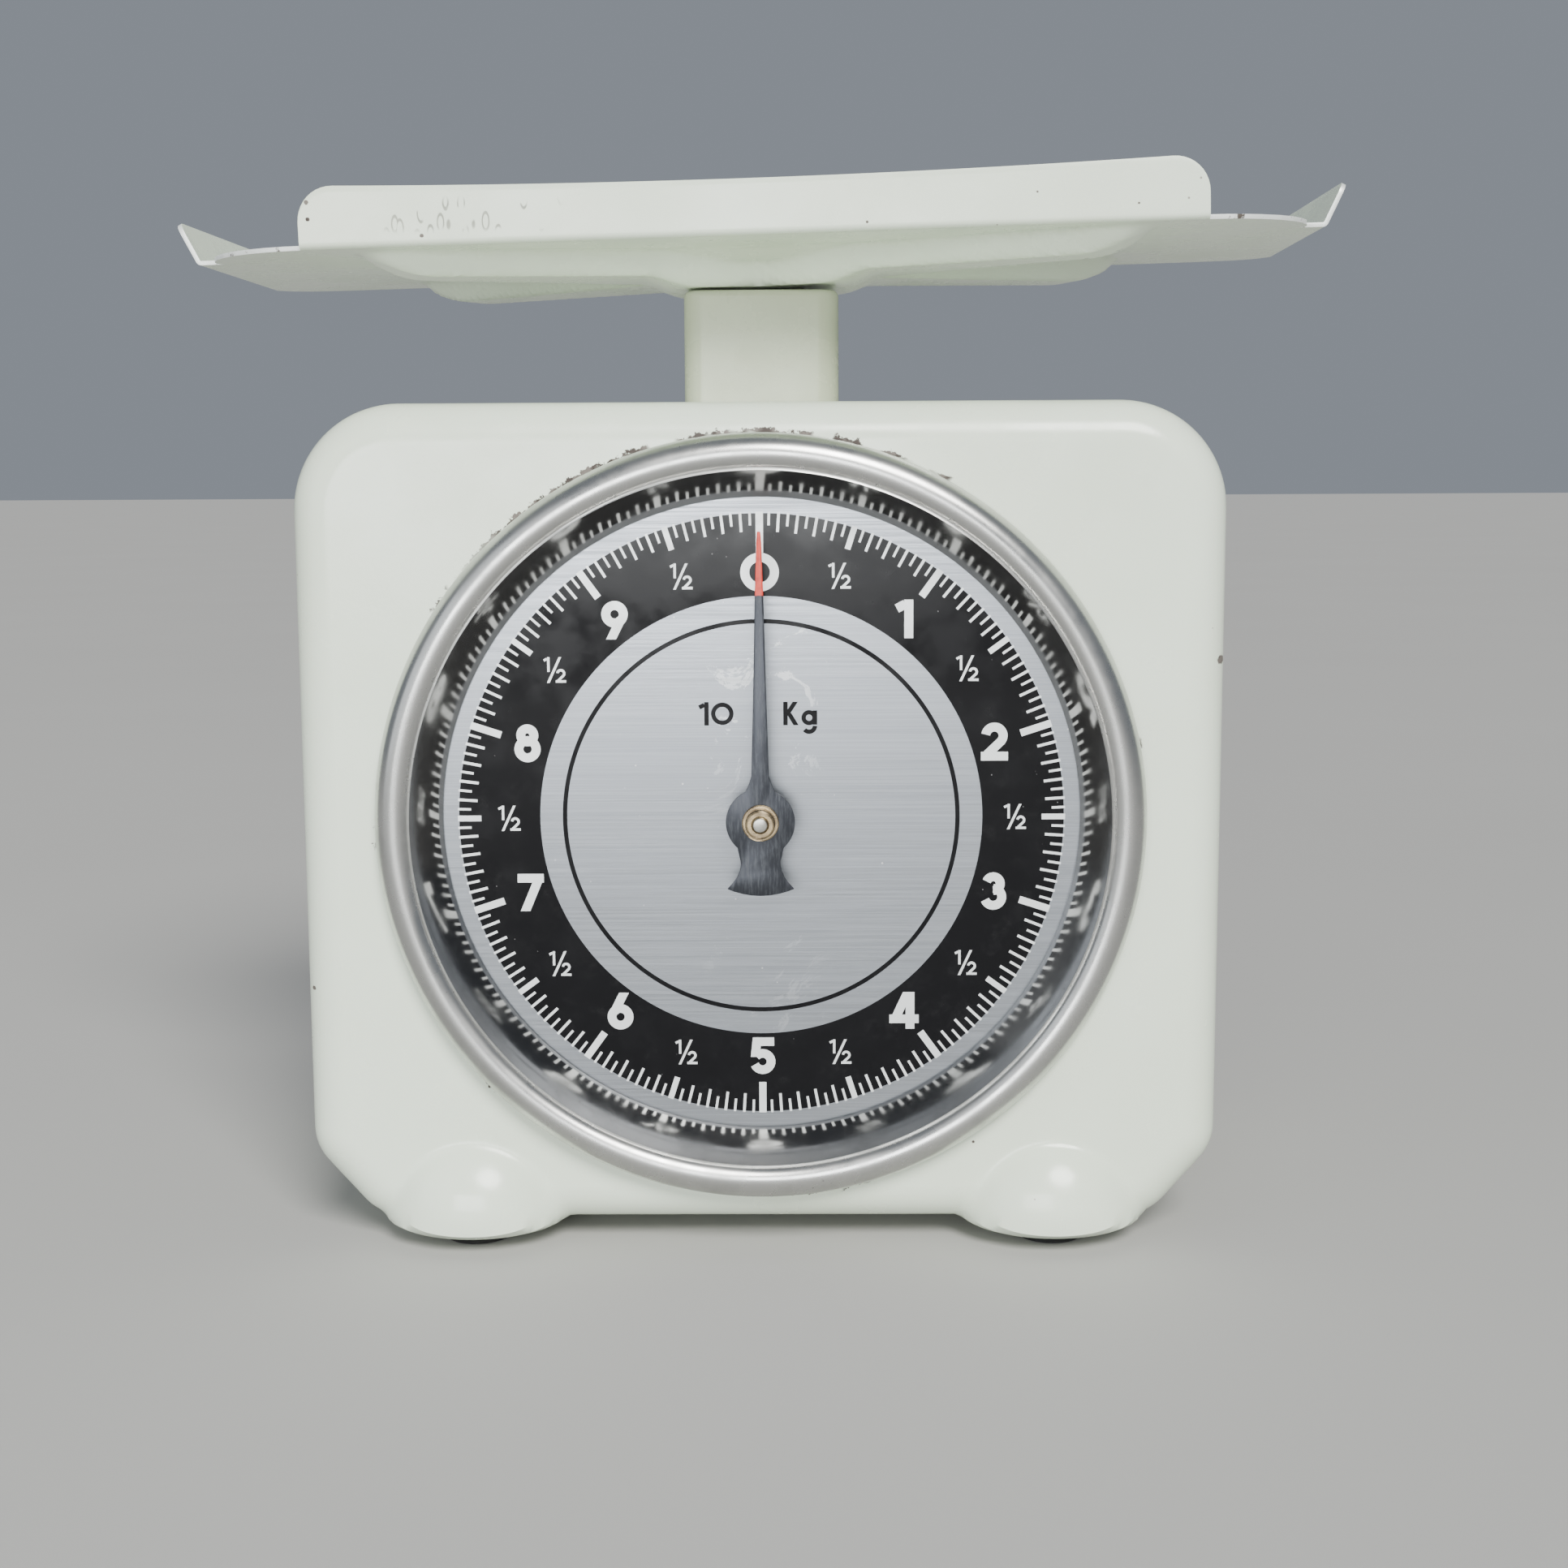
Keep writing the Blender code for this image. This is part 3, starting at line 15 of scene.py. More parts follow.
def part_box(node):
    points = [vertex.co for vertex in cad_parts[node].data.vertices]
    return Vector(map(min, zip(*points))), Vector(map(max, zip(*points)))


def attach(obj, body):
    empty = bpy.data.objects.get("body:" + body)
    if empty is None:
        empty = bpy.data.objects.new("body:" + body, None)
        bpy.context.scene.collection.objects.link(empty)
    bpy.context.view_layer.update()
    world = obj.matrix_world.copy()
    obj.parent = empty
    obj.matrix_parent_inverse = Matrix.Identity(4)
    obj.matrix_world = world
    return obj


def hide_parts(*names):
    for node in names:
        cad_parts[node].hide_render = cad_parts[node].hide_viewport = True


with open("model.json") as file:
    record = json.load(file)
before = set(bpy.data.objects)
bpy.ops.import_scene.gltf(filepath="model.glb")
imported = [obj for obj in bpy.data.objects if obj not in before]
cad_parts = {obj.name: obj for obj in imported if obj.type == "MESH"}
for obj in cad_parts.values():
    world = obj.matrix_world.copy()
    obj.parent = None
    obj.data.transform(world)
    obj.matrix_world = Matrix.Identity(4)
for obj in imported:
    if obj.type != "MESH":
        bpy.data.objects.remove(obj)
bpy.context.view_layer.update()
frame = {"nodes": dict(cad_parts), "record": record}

MM = 0.001


def span(node):
    """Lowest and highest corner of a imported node, in millimetres."""
    low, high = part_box(node)
    return low / MM, high / MM


case_high = span("housing")[1]
dial_low, dial_high = span("dial_plate")
bezel_low, bezel_high = span("bezel")
post_low, post_high = span("post")
cover_low, cover_high = span("back_cover")

CASE_DEPTH = 116.0
FRONT = case_high.y - CASE_DEPTH
CASE_HALF = case_high.x
CASE_TOP = case_high.z
CASE_BOTTOM = 5.0
SHEET = 1.0
DIAL_Z = (dial_low.z + dial_high.z) / 2
DIAL_Y = dial_low.y
BEZEL_RADIUS = (bezel_high.z - bezel_low.z) / 2
POST_Y = (post_low.y + post_high.y) / 2
KNOB_Y = sum(span("zero_knob")[i].y for i in (0, 1)) / 2


def at(depth):
    """Y of a depth behind the case's front face."""
    return FRONT + depth


# -------- meshes


def block(name, verts, faces):
    """An object from vertices in millimetres, with its faces turned outwards."""
    mesh = bpy.data.meshes.new(name)
    mesh.from_pydata([tuple(c * MM for c in v) for v in verts], [], faces)
    mesh.validate()
    bm = bmesh.new()
    bm.from_mesh(mesh)
    bmesh.ops.recalc_face_normals(bm, faces=bm.faces)
    bm.to_mesh(mesh)
    bm.free()
    obj = bpy.data.objects.new(name, mesh)
    bpy.context.scene.collection.objects.link(obj)
    return obj


def add(name, verts, faces, body, material, slot, replaces=(), sharp=35.0):
    """A piece of the visual, riding on a body."""
    obj = block(name, verts, faces)
    obj.data.materials.append(material)
    obj.data.set_sharp_from_angle(angle=math.radians(sharp))
    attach(obj, body)
    if replaces:
        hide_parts(*replaces)
    return obj


def apply_modifiers(obj, sharp=35.0):
    """Bake an object's modifiers into its mesh."""
    bpy.context.view_layer.update()
    done = bpy.data.meshes.new_from_object(obj.evaluated_get(bpy.context.evaluated_depsgraph_get()))
    obj.modifiers.clear()
    obj.data = done
    done.set_sharp_from_angle(angle=math.radians(sharp))
    return obj


def cut(obj, tools, operation="DIFFERENCE"):
    """Boolean with several tools, which are then removed."""
    for tool in tools:
        modifier = obj.modifiers.new(tool.name, "BOOLEAN")
        modifier.operation = operation
        modifier.object = tool
        modifier.solver = "EXACT"
    apply_modifiers(obj)
    for tool in tools:
        bpy.data.objects.remove(tool, do_unlink=True)


def round_edges(obj, width, angle):
    """Bevel of a width in millimetres on edges sharper than an angle in degrees."""
    edge = obj.modifiers.new("edge", "BEVEL")
    edge.width = width * MM
    edge.segments = 2
    edge.limit_method = "ANGLE"
    edge.angle_limit = math.radians(angle)
    return edge


def turn(profile, steps, axis, centre):
    """Vertices and faces of a closed (radius, height) profile turned about an axis."""
    verts, rings = [], []
    for radius, height in profile:
        count = 1 if radius < 1e-6 else steps
        rings.append(list(range(len(verts), len(verts) + count)))
        for i in range(count):
            a = 2 * math.pi * i / steps
            across, along = radius * math.cos(a), radius * math.sin(a)
            point = {"Y": (across, height, along), "Z": (across, along, height),
                     "X": (height, across, along)}[axis]
            verts.append(tuple(c + o for c, o in zip(point, centre)))
    faces = []
    for first, second in zip(rings, rings[1:] + rings[:1]):
        if len(first) == len(second) == 1:
            continue
        for i in range(steps):
            j = (i + 1) % steps
            loop = [first[i % len(first)], first[j % len(first)],
                    second[j % len(second)], second[i % len(second)]]
            face = list(dict.fromkeys(loop))
            if len(face) > 2:
                faces.append(face)
    return verts, faces


def arc(centre, radii, start, end, count):
    """Points along an arc of an ellipse; angles in degrees."""
    rx, ry = radii if isinstance(radii, tuple) else (radii, radii)
    angles = [math.radians(start + (end - start) * i / count) for i in range(count + 1)]
    return [(centre[0] + rx * math.cos(a), centre[1] + ry * math.sin(a)) for a in angles]


def rounded_box(low, high, radius, count=8):
    """Outline of a rectangle with round corners."""
    right, upper = high[0] - radius, high[1] - radius
    left, lower = low[0] + radius, low[1] + radius
    points = []
    for x, y, start in ((right, upper, 0), (left, upper, 90), (left, lower, 180), (right, lower, 270)):
        points += arc((x, y), radius, start, start + 90, count)
    return points


def ring_faces(rows, count):
    """Quads between rows of points that each go once round."""
    return [[r * count + i, r * count + (i + 1) % count,
             (r + 1) * count + (i + 1) % count, (r + 1) * count + i]
            for r in range(rows - 1) for i in range(count)]


def prism(points, low, high, plane):
    """Vertices and faces of an outline pushed from low to high along its plane's normal."""
    count = len(points)

    def place(u, v, w):
        return {"XZ": (u, w, v), "XY": (u, v, w)}[plane]
    verts = [place(u, v, low) for u, v in points] + [place(u, v, high) for u, v in points]
    faces = [list(range(count)), list(range(2 * count - 1, count - 1, -1))]
    faces += [[i, (i + 1) % count, count + (i + 1) % count, count + i] for i in range(count)]
    return verts, faces


# -------- materials


KNOCKS_END = (-0.044, -0.042)   # metres: where knocks seen from the front fade out


class Nodes:
    """A short way to write a procedural material."""

    def __init__(self, name, colour, roughness, metallic=0.0, **sockets):
        self.material = bpy.data.materials.new(name)
        self.material.use_nodes = True
        self.tree = self.material.node_tree
        self.shader = self.tree.nodes["Principled BSDF"]
        self.shader.inputs["Base Color"].default_value = (*colour, 1.0)
        self.shader.inputs["Roughness"].default_value = roughness
        self.shader.inputs["Metallic"].default_value = metallic
        for key, value in sockets.items():
            self.shader.inputs[key.replace("_", " ")].default_value = value
        self.where = self.node("ShaderNodeTexCoord").outputs["Object"]

    def node(self, kind, **settings):
        made = self.tree.nodes.new(kind)
        for key, value in settings.items():
            setattr(made, key, value)
        return made

    def link(self, source, target):
        self.tree.links.new(source, target)

    def put(self, target, value):
        if isinstance(value, bpy.types.NodeSocket):
            self.link(value, target)
        elif isinstance(value, tuple) and len(value) == 3 and target.type == "RGBA":
            target.default_value = (*value, 1.0)
        else:
            target.default_value = value

    def math(self, operation, a, b=0.0, c=0.0, clamp=False):
        made = self.node("ShaderNodeMath", operation=operation, use_clamp=clamp)
        for socket, value in zip(made.inputs, (a, b, c)):
            self.put(socket, value)
        return made.outputs[0]

    def times(self, a, b):
        return self.math("MULTIPLY", a, b)

    def squeeze(self, size):
        """Object coordinates stretched by a factor on each axis."""
        made = self.node("ShaderNodeMapping")
        made.inputs["Scale"].default_value = size
        self.link(self.where, made.inputs["Vector"])
        return made.outputs[0]

    def noise(self, scale, detail=3.0, rough=0.5, where=None, distortion=0.0):
        made = self.node("ShaderNodeTexNoise")
        made.inputs["Scale"].default_value = scale
        made.inputs["Detail"].default_value = detail
        made.inputs["Roughness"].default_value = rough
        made.inputs["Distortion"].default_value = distortion
        self.link(where or self.where, made.inputs["Vector"])
        return made.outputs["Fac"]

    def spots(self, scale, where=None):
        made = self.node("ShaderNodeTexVoronoi")
        made.inputs["Scale"].default_value = scale
        self.link(where or self.where, made.inputs["Vector"])
        return made.outputs["Distance"]

    def ramp(self, value, low, high, start=0.0, end=1.0):
        """Smooth step of a value from start at low to end at high."""
        made = self.node("ShaderNodeMapRange", interpolation_type="SMOOTHSTEP")
        self.put(made.inputs["Value"], value)
        for key, number in (("From Min", low), ("From Max", high), ("To Min", start), ("To Max", end)):
            self.put(made.inputs[key], number)
        return made.outputs["Result"]

    def mix(self, factor, a, b):
        made = self.node("ShaderNodeMix", data_type="RGBA")
        self.put(made.inputs["Factor"], factor)
        self.put(made.inputs["A"], a)
        self.put(made.inputs["B"], b)
        return made.outputs["Result"]

    def axes(self):
        made = self.node("ShaderNodeSeparateXYZ")
        self.link(self.where, made.inputs[0])
        return made.outputs

    def band(self, value, start, full, last, end):
        """1 from full to last, fading to 0 at start and at end."""
        return self.times(self.ramp(value, start, full), self.ramp(value, last, end, 1.0, 0.0))

    def specks(self, scale, size, patches, share):
        """Small round specks that gather in patches of a noise."""
        dots = self.ramp(self.spots(scale), *size, 1.0, 0.0)
        return self.times(dots, self.ramp(self.noise(*patches), *share))

    def length(self, a, b):
        return self.math("SQRT", self.math("ADD", self.times(a, a), self.times(b, b)))

    def dial_polar(self):
        """Distance from the dial's centre line, and clockwise angle from the top, in radians."""
        x, _, z = self.axes()
        z = self.math("SUBTRACT", z, DIAL_Z * MM)
        return self.length(x, z), self.math("ARCTAN2", x, z)

    def knock(self, x, z, size):
        """A ragged chip of about a radius, in millimetres, at a place seen from the front."""
        px, py, pz = self.axes()
        px, pz = self.math("SUBTRACT", px, x * MM), self.math("SUBTRACT", pz, z * MM)
        away = self.length(px, pz)
        away = self.math("ADD", away, self.times(self.noise(900.0, 3.0, 0.7), size * MM))
        chip = self.ramp(away, 1.25 * size * MM, 1.5 * size * MM, 1.0, 0.0)
        return self.times(chip, self.ramp(py, *KNOCKS_END, 1.0, 0.0))

    def bump(self, height, distance, strength=1.0):
        made = self.node("ShaderNodeBump")
        made.inputs["Strength"].default_value = strength
        made.inputs["Distance"].default_value = distance
        self.link(height, made.inputs["Height"])
        self.link(made.outputs["Normal"], self.shader.inputs["Normal"])

    def paint(self, colour=None, roughness=None, metallic=None):
        for key, value in (("Base Color", colour), ("Roughness", roughness), ("Metallic", metallic)):
            if value is not None:
                self.put(self.shader.inputs[key], value)
        return self.material


def enamel(name, colour, stain, roughness=0.22, chips=None):
    """Baked enamel: faint stains, soft orange peel, stray specks and worn places."""
    n = Nodes(name, colour, roughness, Specular_IOR_Level=0.5)
    tone = n.mix(n.ramp(n.noise(14.0, 4.0, 0.6), 0.35, 0.7), colour, stain)
    grime = n.ramp(n.noise(60.0, 5.0, 0.65), 0.62, 0.8, 0.0, 0.25)
    tone = n.mix(grime, tone, tuple(c * 0.78 for c in stain))
    specks = n.specks(190.0, (0.035, 0.06), (37.0, 1.0), (0.60, 0.66))
    tone = n.mix(n.times(specks, 0.75), tone, (0.16, 0.12, 0.09))
    gloss = n.ramp(n.noise(45.0, 5.0, 0.6), 0.3, 0.75, roughness - 0.05, roughness + 0.13)
    if chips:
        mask = chips(n)
        bare = n.mix(n.ramp(n.noise(400.0, 2.0), 0.4, 0.6), (0.045, 0.032, 0.025), (0.16, 0.14, 0.12))
        tone = n.mix(mask, tone, bare)
        gloss = n.math("ADD", n.times(mask, 0.4), gloss)
        height = n.math("SUBTRACT", n.noise(900.0, 2.0), n.times(mask, 3.0))
        n.bump(height, 0.00003, 0.6)
    else:
        n.bump(n.noise(900.0, 2.0), 0.00002, 0.5)
    return n.paint(tone, gloss)


def bezel_chips(n):
    """Chips where the bezel is crimped on, mostly up on the left, and a few knocks elsewhere."""
    radius, angle = n.dial_polar()
    ragged = n.times(n.math("SUBTRACT", n.noise(420.0, 4.0, 0.75), 0.5), 0.0058)
    edge = n.math("ADD", radius, ragged)
    near = n.ramp(edge, BEZEL_RADIUS * MM + 0.0004, BEZEL_RADIUS * MM + 0.0007, 1.0, 0.0)
    where = n.ramp(n.noise(120.0, 1.0), 0.44, 0.50)
    sector = n.band(angle, -0.95, -0.7, 0.35, 0.55)
    few = n.ramp(n.noise(70.0, 1.0), 0.60, 0.64)
    mask = n.times(near, n.math("MAXIMUM", n.times(where, sector), few))
    for x, z, size in ((CASE_HALF - 1.2, 134.0, 1.1), (48.0, 24.5, 0.35), (-CASE_HALF + 2.0, 60.0, 0.6)):
        mask = n.math("MAXIMUM", mask, n.knock(x, z, size))
    return mask


def tray_marks(n):
    """Rubbed loops and short scratches on the front lip, and enamel lost at its ends."""
    x, y, z = n.axes()
    loops = n.spots(280.0, n.squeeze((1.4, 0.02, 0.55)))
    line = n.band(loops, 0.24, 0.28, 0.33, 0.38)
    left = n.band(x, -0.084, -0.080, -0.046, -0.042)
    height = n.band(z, 0.228, 0.230, 0.2345, 0.2365)
    rubbed = n.times(n.times(left, height), n.ramp(n.noise(190.0, 1.0), 0.42, 0.50))
    rubbed = n.times(rubbed, n.ramp(y, -0.042, -0.040, 1.0, 0.0))
    mask = n.times(n.times(line, rubbed), 0.6)
    for px, pz, size in ((-99.2, 231.5, 0.5), (-99.4, 235.2, 0.6), (-97.5, 238.3, 0.5), (-74.0, 227.8, 0.45),
                         (24.0, 229.9, 0.3), (83.0, 233.4, 0.3), (61.0, 236.0, 0.25)):
        mask = n.math("MAXIMUM", mask, n.knock(px, pz, size))
    return mask


CREAM = (0.765, 0.845, 0.71)
CREAM_STAIN = (0.725, 0.80, 0.655)
CASE_ENAMEL = enamel("case_enamel", CREAM, CREAM_STAIN, 0.2, bezel_chips)
TRAY_ENAMEL = enamel("tray_enamel", CREAM, CREAM_STAIN, 0.24, tray_marks)
COVER_ENAMEL = enamel("cover_enamel", CREAM, CREAM_STAIN, 0.24)
# The post's colour is darker and more olive than the case's: painted shade of the tray that hangs over the
# post.
POST_SHADED_ENAMEL = enamel("post_enamel_painted_shade", (0.50, 0.54, 0.40), (0.44, 0.47, 0.34), 0.26)


def spun_metal(name, colour, roughness, rings, depth):
    """Polished metal with faint turning marks round the dial's axis, smudges and pits."""
    n = Nodes(name, colour, roughness, 1.0)
    radius, angle = n.dial_polar()
    stretch = n.node("ShaderNodeCombineXYZ")
    n.put(stretch.inputs[0], radius)
    n.put(stretch.inputs[1], n.times(angle, 0.0012))
    marks = n.noise(rings, 3.0, 0.6, stretch.outputs[0])
    haze = n.noise(70.0, 5.0, 0.65)
    tone = n.mix(n.ramp(haze, 0.4, 0.75), colour, tuple(c * 0.8 for c in colour))
    pits = n.specks(420.0, (0.05, 0.12), (60.0, 2.0), (0.55, 0.65))
    tone = n.mix(n.times(pits, 0.5), tone, (0.1, 0.09, 0.08))
    gloss = n.ramp(haze, 0.3, 0.8, roughness - 0.03, roughness + 0.12)
    n.bump(marks, depth, 0.5)
    return n.paint(tone, gloss)


BEZEL_METAL = spun_metal("bezel_metal", (0.53, 0.53, 0.515), 0.27, 900.0, 0.000012)
FLARE_METAL = spun_metal("flare_metal", (0.66, 0.65, 0.63), 0.10, 500.0, 0.000003)


def dial_metal():
    """Horizontally brushed aluminium with water marks and dust."""
    n = Nodes("dial_metal", (0.37, 0.39, 0.42), 0.36, 1.0, Anisotropic=0.35)
    brush = n.noise(420.0, 3.0, 0.7, n.squeeze((0.03, 1.0, 9.0)))
    fine = n.noise(700.0, 3.0, 0.6, n.squeeze((0.05, 1.0, 4.0)))
    tone = n.mix(n.ramp(brush, 0.35, 0.7), (0.33, 0.35, 0.38), (0.40, 0.42, 0.45))
    water = n.ramp(n.noise(62.0, 6.0, 0.75, distortion=1.6), 0.58, 0.61, 0.0, 0.8)
    radius, _ = n.dial_polar()
    across, _, up = n.axes()
    drips = n.band(across, -0.016, -0.008, 0.008, 0.018)
    drips = n.times(drips, n.ramp(up, (DIAL_Z + 4.0) * MM, (DIAL_Z + 26.0) * MM, 0.25, 1.0))
    water = n.times(water, n.times(drips, n.ramp(radius, 0.049, 0.051, 1.0, 0.0)))
    tone = n.mix(n.times(water, 0.75), tone, (0.86, 0.88, 0.88))
    dust = n.specks(330.0, (0.05, 0.09), (90.0, 2.0), (0.52, 0.6))
    tone = n.mix(n.times(dust, 0.6), tone, (0.9, 0.9, 0.88))
    gloss = n.math("ADD", n.ramp(fine, 0.3, 0.7, 0.28, 0.42), n.times(water, 0.15))
    n.bump(brush, 0.00002, 0.4)
    return n.paint(tone, gloss)


def print_ink(name, colour, roughness):
    """Printed ink with a little dust on it."""
    n = Nodes(name, colour, roughness, Specular_IOR_Level=0.22)
    tone = n.mix(n.ramp(n.noise(220.0, 4.0, 0.7), 0.5, 0.75), colour, tuple(c + 0.004 for c in colour))
    dust = n.specks(360.0, (0.04, 0.07), (110.0, 1.0), (0.58, 0.66))
    tone = n.mix(n.times(dust, 0.25), tone, (0.6, 0.6, 0.6))
    n.bump(n.noise(500.0, 2.0), 0.00001, 0.3)
    return n.paint(tone, n.ramp(n.noise(130.0, 3.0), 0.3, 0.7, roughness - 0.05, roughness + 0.08))


def mark_metal():
    """Bare metal of the ticks and figures, brighter than the plate."""
    n = Nodes("mark_metal", (0.78, 0.80, 0.80), 0.42, 0.55)
    n.bump(n.noise(700.0, 3.0, 0.6, n.squeeze((0.05, 1.0, 4.0))), 0.00001, 0.3)
    return n.paint(n.mix(n.noise(160.0, 3.0), (0.72, 0.745, 0.75), (0.84, 0.86, 0.85)),
                   n.ramp(n.noise(240.0), 0.3, 0.7, 0.36, 0.5))


def bare_edge():
    """Cut edge of the tray's sheet, with enamel worn thin and dark patches."""
    n = Nodes("bare_edge", (0.8, 0.82, 0.8), 0.4, 0.35)
    dark = n.ramp(n.noise(260.0, 4.0, 0.65), 0.60, 0.66)
    return n.paint(n.mix(dark, (0.84, 0.87, 0.84), (0.10, 0.085, 0.07)))


DIAL_METAL = dial_metal()
BLACK_INK = print_ink("black_ink", (0.0025, 0.0025, 0.0035), 0.16)
MARK_METAL = mark_metal()


def pointer_metal():
    """Blued steel with rubbed patches and a red-painted tip."""
    n = Nodes("pointer_metal", (0.05, 0.055, 0.07), 0.38, 0.7)
    _, _, z = n.axes()
    ragged = n.math("ADD", z, n.times(n.math("SUBTRACT", n.noise(1500.0, 2.0), 0.5), 0.0006))
    tip = n.ramp(ragged, (DIAL_Z + 50.3) * MM, (DIAL_Z + 50.6) * MM)
    streaks = n.noise(300.0, 4.0, 0.7, n.squeeze((6.0, 1.0, 0.8)))
    steel = n.mix(n.ramp(streaks, 0.4, 0.75), (0.035, 0.038, 0.046), (0.075, 0.08, 0.09))
    red = n.mix(n.ramp(n.noise(500.0, 3.0), 0.45, 0.7), (0.62, 0.045, 0.025), (0.45, 0.03, 0.02))
    n.bump(streaks, 0.00002, 0.4)
    metal = n.times(n.math("SUBTRACT", 1.0, tip), 0.7)
    return n.paint(n.mix(tip, steel, red), n.ramp(streaks, 0.3, 0.8, 0.3, 0.5), metal)


def worn_metal(name, colour, tarnish, roughness, scale=260.0):
    """Turned or stamped metal, dulled in patches."""
    n = Nodes(name, colour, roughness, 1.0)
    patches = n.noise(scale, 4.0, 0.65)
    scratches = n.noise(scale * 2.0, 2.0, 0.6, n.squeeze((1.0, 1.0, 9.0)))
    tone = n.mix(n.ramp(patches, 0.4, 0.7), colour, tarnish)
    n.bump(scratches, 0.00002, 0.35)
    return n.paint(tone, n.ramp(scratches, 0.3, 0.75, roughness - 0.06, roughness + 0.12))


def moulded(name, colour, roughness, grain, depth):
    """Rubber or plastic with a fine moulded grain and dust in it."""
    n = Nodes(name, colour, roughness)
    dust = n.ramp(n.noise(grain * 0.3, 4.0, 0.7), 0.5, 0.8, 0.0, 0.3)
    tone = n.mix(dust, colour, tuple(c + 0.06 for c in colour))
    n.bump(n.noise(grain, 3.0, 0.6), depth, 0.5)
    return n.paint(tone, n.ramp(n.noise(grain * 0.5), 0.3, 0.7, roughness - 0.08, roughness + 0.1))


POINTER_METAL = pointer_metal()
BRASS = worn_metal("worn_brass", (0.46, 0.36, 0.22), (0.22, 0.17, 0.11), 0.3)
STEEL = worn_metal("zinc_plated_steel", (0.52, 0.52, 0.49), (0.36, 0.35, 0.31), 0.36)
SPRING_STEEL = worn_metal("oiled_spring_steel", (0.30, 0.30, 0.31), (0.17, 0.15, 0.13), 0.28)
SCREW_STEEL = worn_metal("screw_steel", (0.50, 0.49, 0.46), (0.24, 0.20, 0.16), 0.34, 420.0)
BARE_EDGE = bare_edge()
RUBBER = moulded("foot_rubber", (0.018, 0.018, 0.018), 0.75, 900.0, 0.00004)
KNOB_PLASTIC = moulded("knob_plastic_black", (0.03, 0.03, 0.03), 0.42, 1200.0, 0.00002)

LOOKS = {"plated_steel": STEEL, "spring_steel": SPRING_STEEL, "brass": BRASS, "black_rubber": RUBBER,
         "knob_plastic": KNOB_PLASTIC, "dial_aluminium": DIAL_METAL, "polished_aluminium": BEZEL_METAL,
         "blued_steel": POINTER_METAL, "post_enamel": POST_SHADED_ENAMEL,
         "cream_enamel": COVER_ENAMEL}
for part in frame["record"]["subparts"]:
    mesh = frame["nodes"][part["node"]].data
    mesh.materials.clear()
    mesh.materials.append(LOOKS[part["material_slot"]])


# -------- case

CORNER = 24.0
SLANT = (15.0, 17.0)            # width and height of the slanted lower corners
SLANT_ROUND = 12.0
FRONT_EDGE = 9.0
HOLE_RADIUS = 79.9
FOOT_X, FOOT_Z = 66.5, 6.0
FOOT_DEPTHS = {"front": 9.0, "rear": 92.0}
FOOT_RADII = (21.5, 17.0, 21.0)
FOOT_DROP = 4.8
FOOT_BLEND = 1.3                # how far dome and shell melt into each other
MARCH_REACH, MARCH_STEPS, MARCH_SHARE = 15.0, 34, 0.85
POST_SLOT_HALF, POST_SLOT_CORNER = 19.25, 6.0


def case_outline(inset, fine):
    """Half outline of the case from the top middle clockwise to the bottom middle."""
    half, top, bottom = CASE_HALF - inset, CASE_TOP - inset, CASE_BOTTOM + inset
    slant = math.atan2(SLANT[1], SLANT[0])
    upper = SLANT_ROUND * math.tan((math.pi / 2 - slant) / 2)
    lower = SLANT_ROUND * math.tan(slant / 2)
    turned = -90 + math.degrees(slant)
    right = arc((half - CORNER + inset, top - CORNER + inset), CORNER - inset, 90, 0, 3 * fine)
    right += arc((half - SLANT_ROUND, bottom + SLANT[1] + upper), SLANT_ROUND, 0, turned, fine)
    right += arc((half - SLANT[0] - lower, bottom + SLANT_ROUND), SLANT_ROUND, turned, -90, fine)
    return right


def even_outline(points, count):
    """Closed, mirrored outline resampled at even steps, with its outward normals."""
    loop = np.array(points + [(-x, z) for x, z in reversed(points)])
    loop = np.vstack([loop, loop[:1]])
    run = np.concatenate([[0], np.cumsum(np.hypot(*np.diff(loop, axis=0).T))])
    steps = (np.arange(count) + 0.5) * run[-1] / count
    ring = np.stack([np.interp(steps, run, loop[:, 0]), np.interp(steps, run, loop[:, 1])], 1)
    tangent = np.roll(ring, -1, 0) - np.roll(ring, 1, 0)
    normal = np.stack([-tangent[:, 1], tangent[:, 0]], 1)
    normal /= np.linalg.norm(normal, axis=1)[:, None]
    if ((ring - ring.mean(0)) * normal).sum() < 0:
        normal = -normal
    return ring, normal


def outline_distance(x, z, ring):
    """Signed distance in the front plane to the case's outline, negative inside."""
    best = np.full(len(x), 1e9)
    inside = np.zeros(len(x), bool)
    for (ax, az), (bx, bz) in zip(ring, np.roll(ring, -1, 0)):
        ex, ez = bx - ax, bz - az
        t = np.clip(((x - ax) * ex + (z - az) * ez) / (ex * ex + ez * ez), 0, 1)
        best = np.minimum(best, np.hypot(x - ax - t * ex, z - az - t * ez))
        crosses = (az > z) != (bz > z)
        if abs(ez) > 1e-9:
            inside ^= crosses & (x < ax + (z - az) * ex / ez)
    return np.where(inside, -best, best)


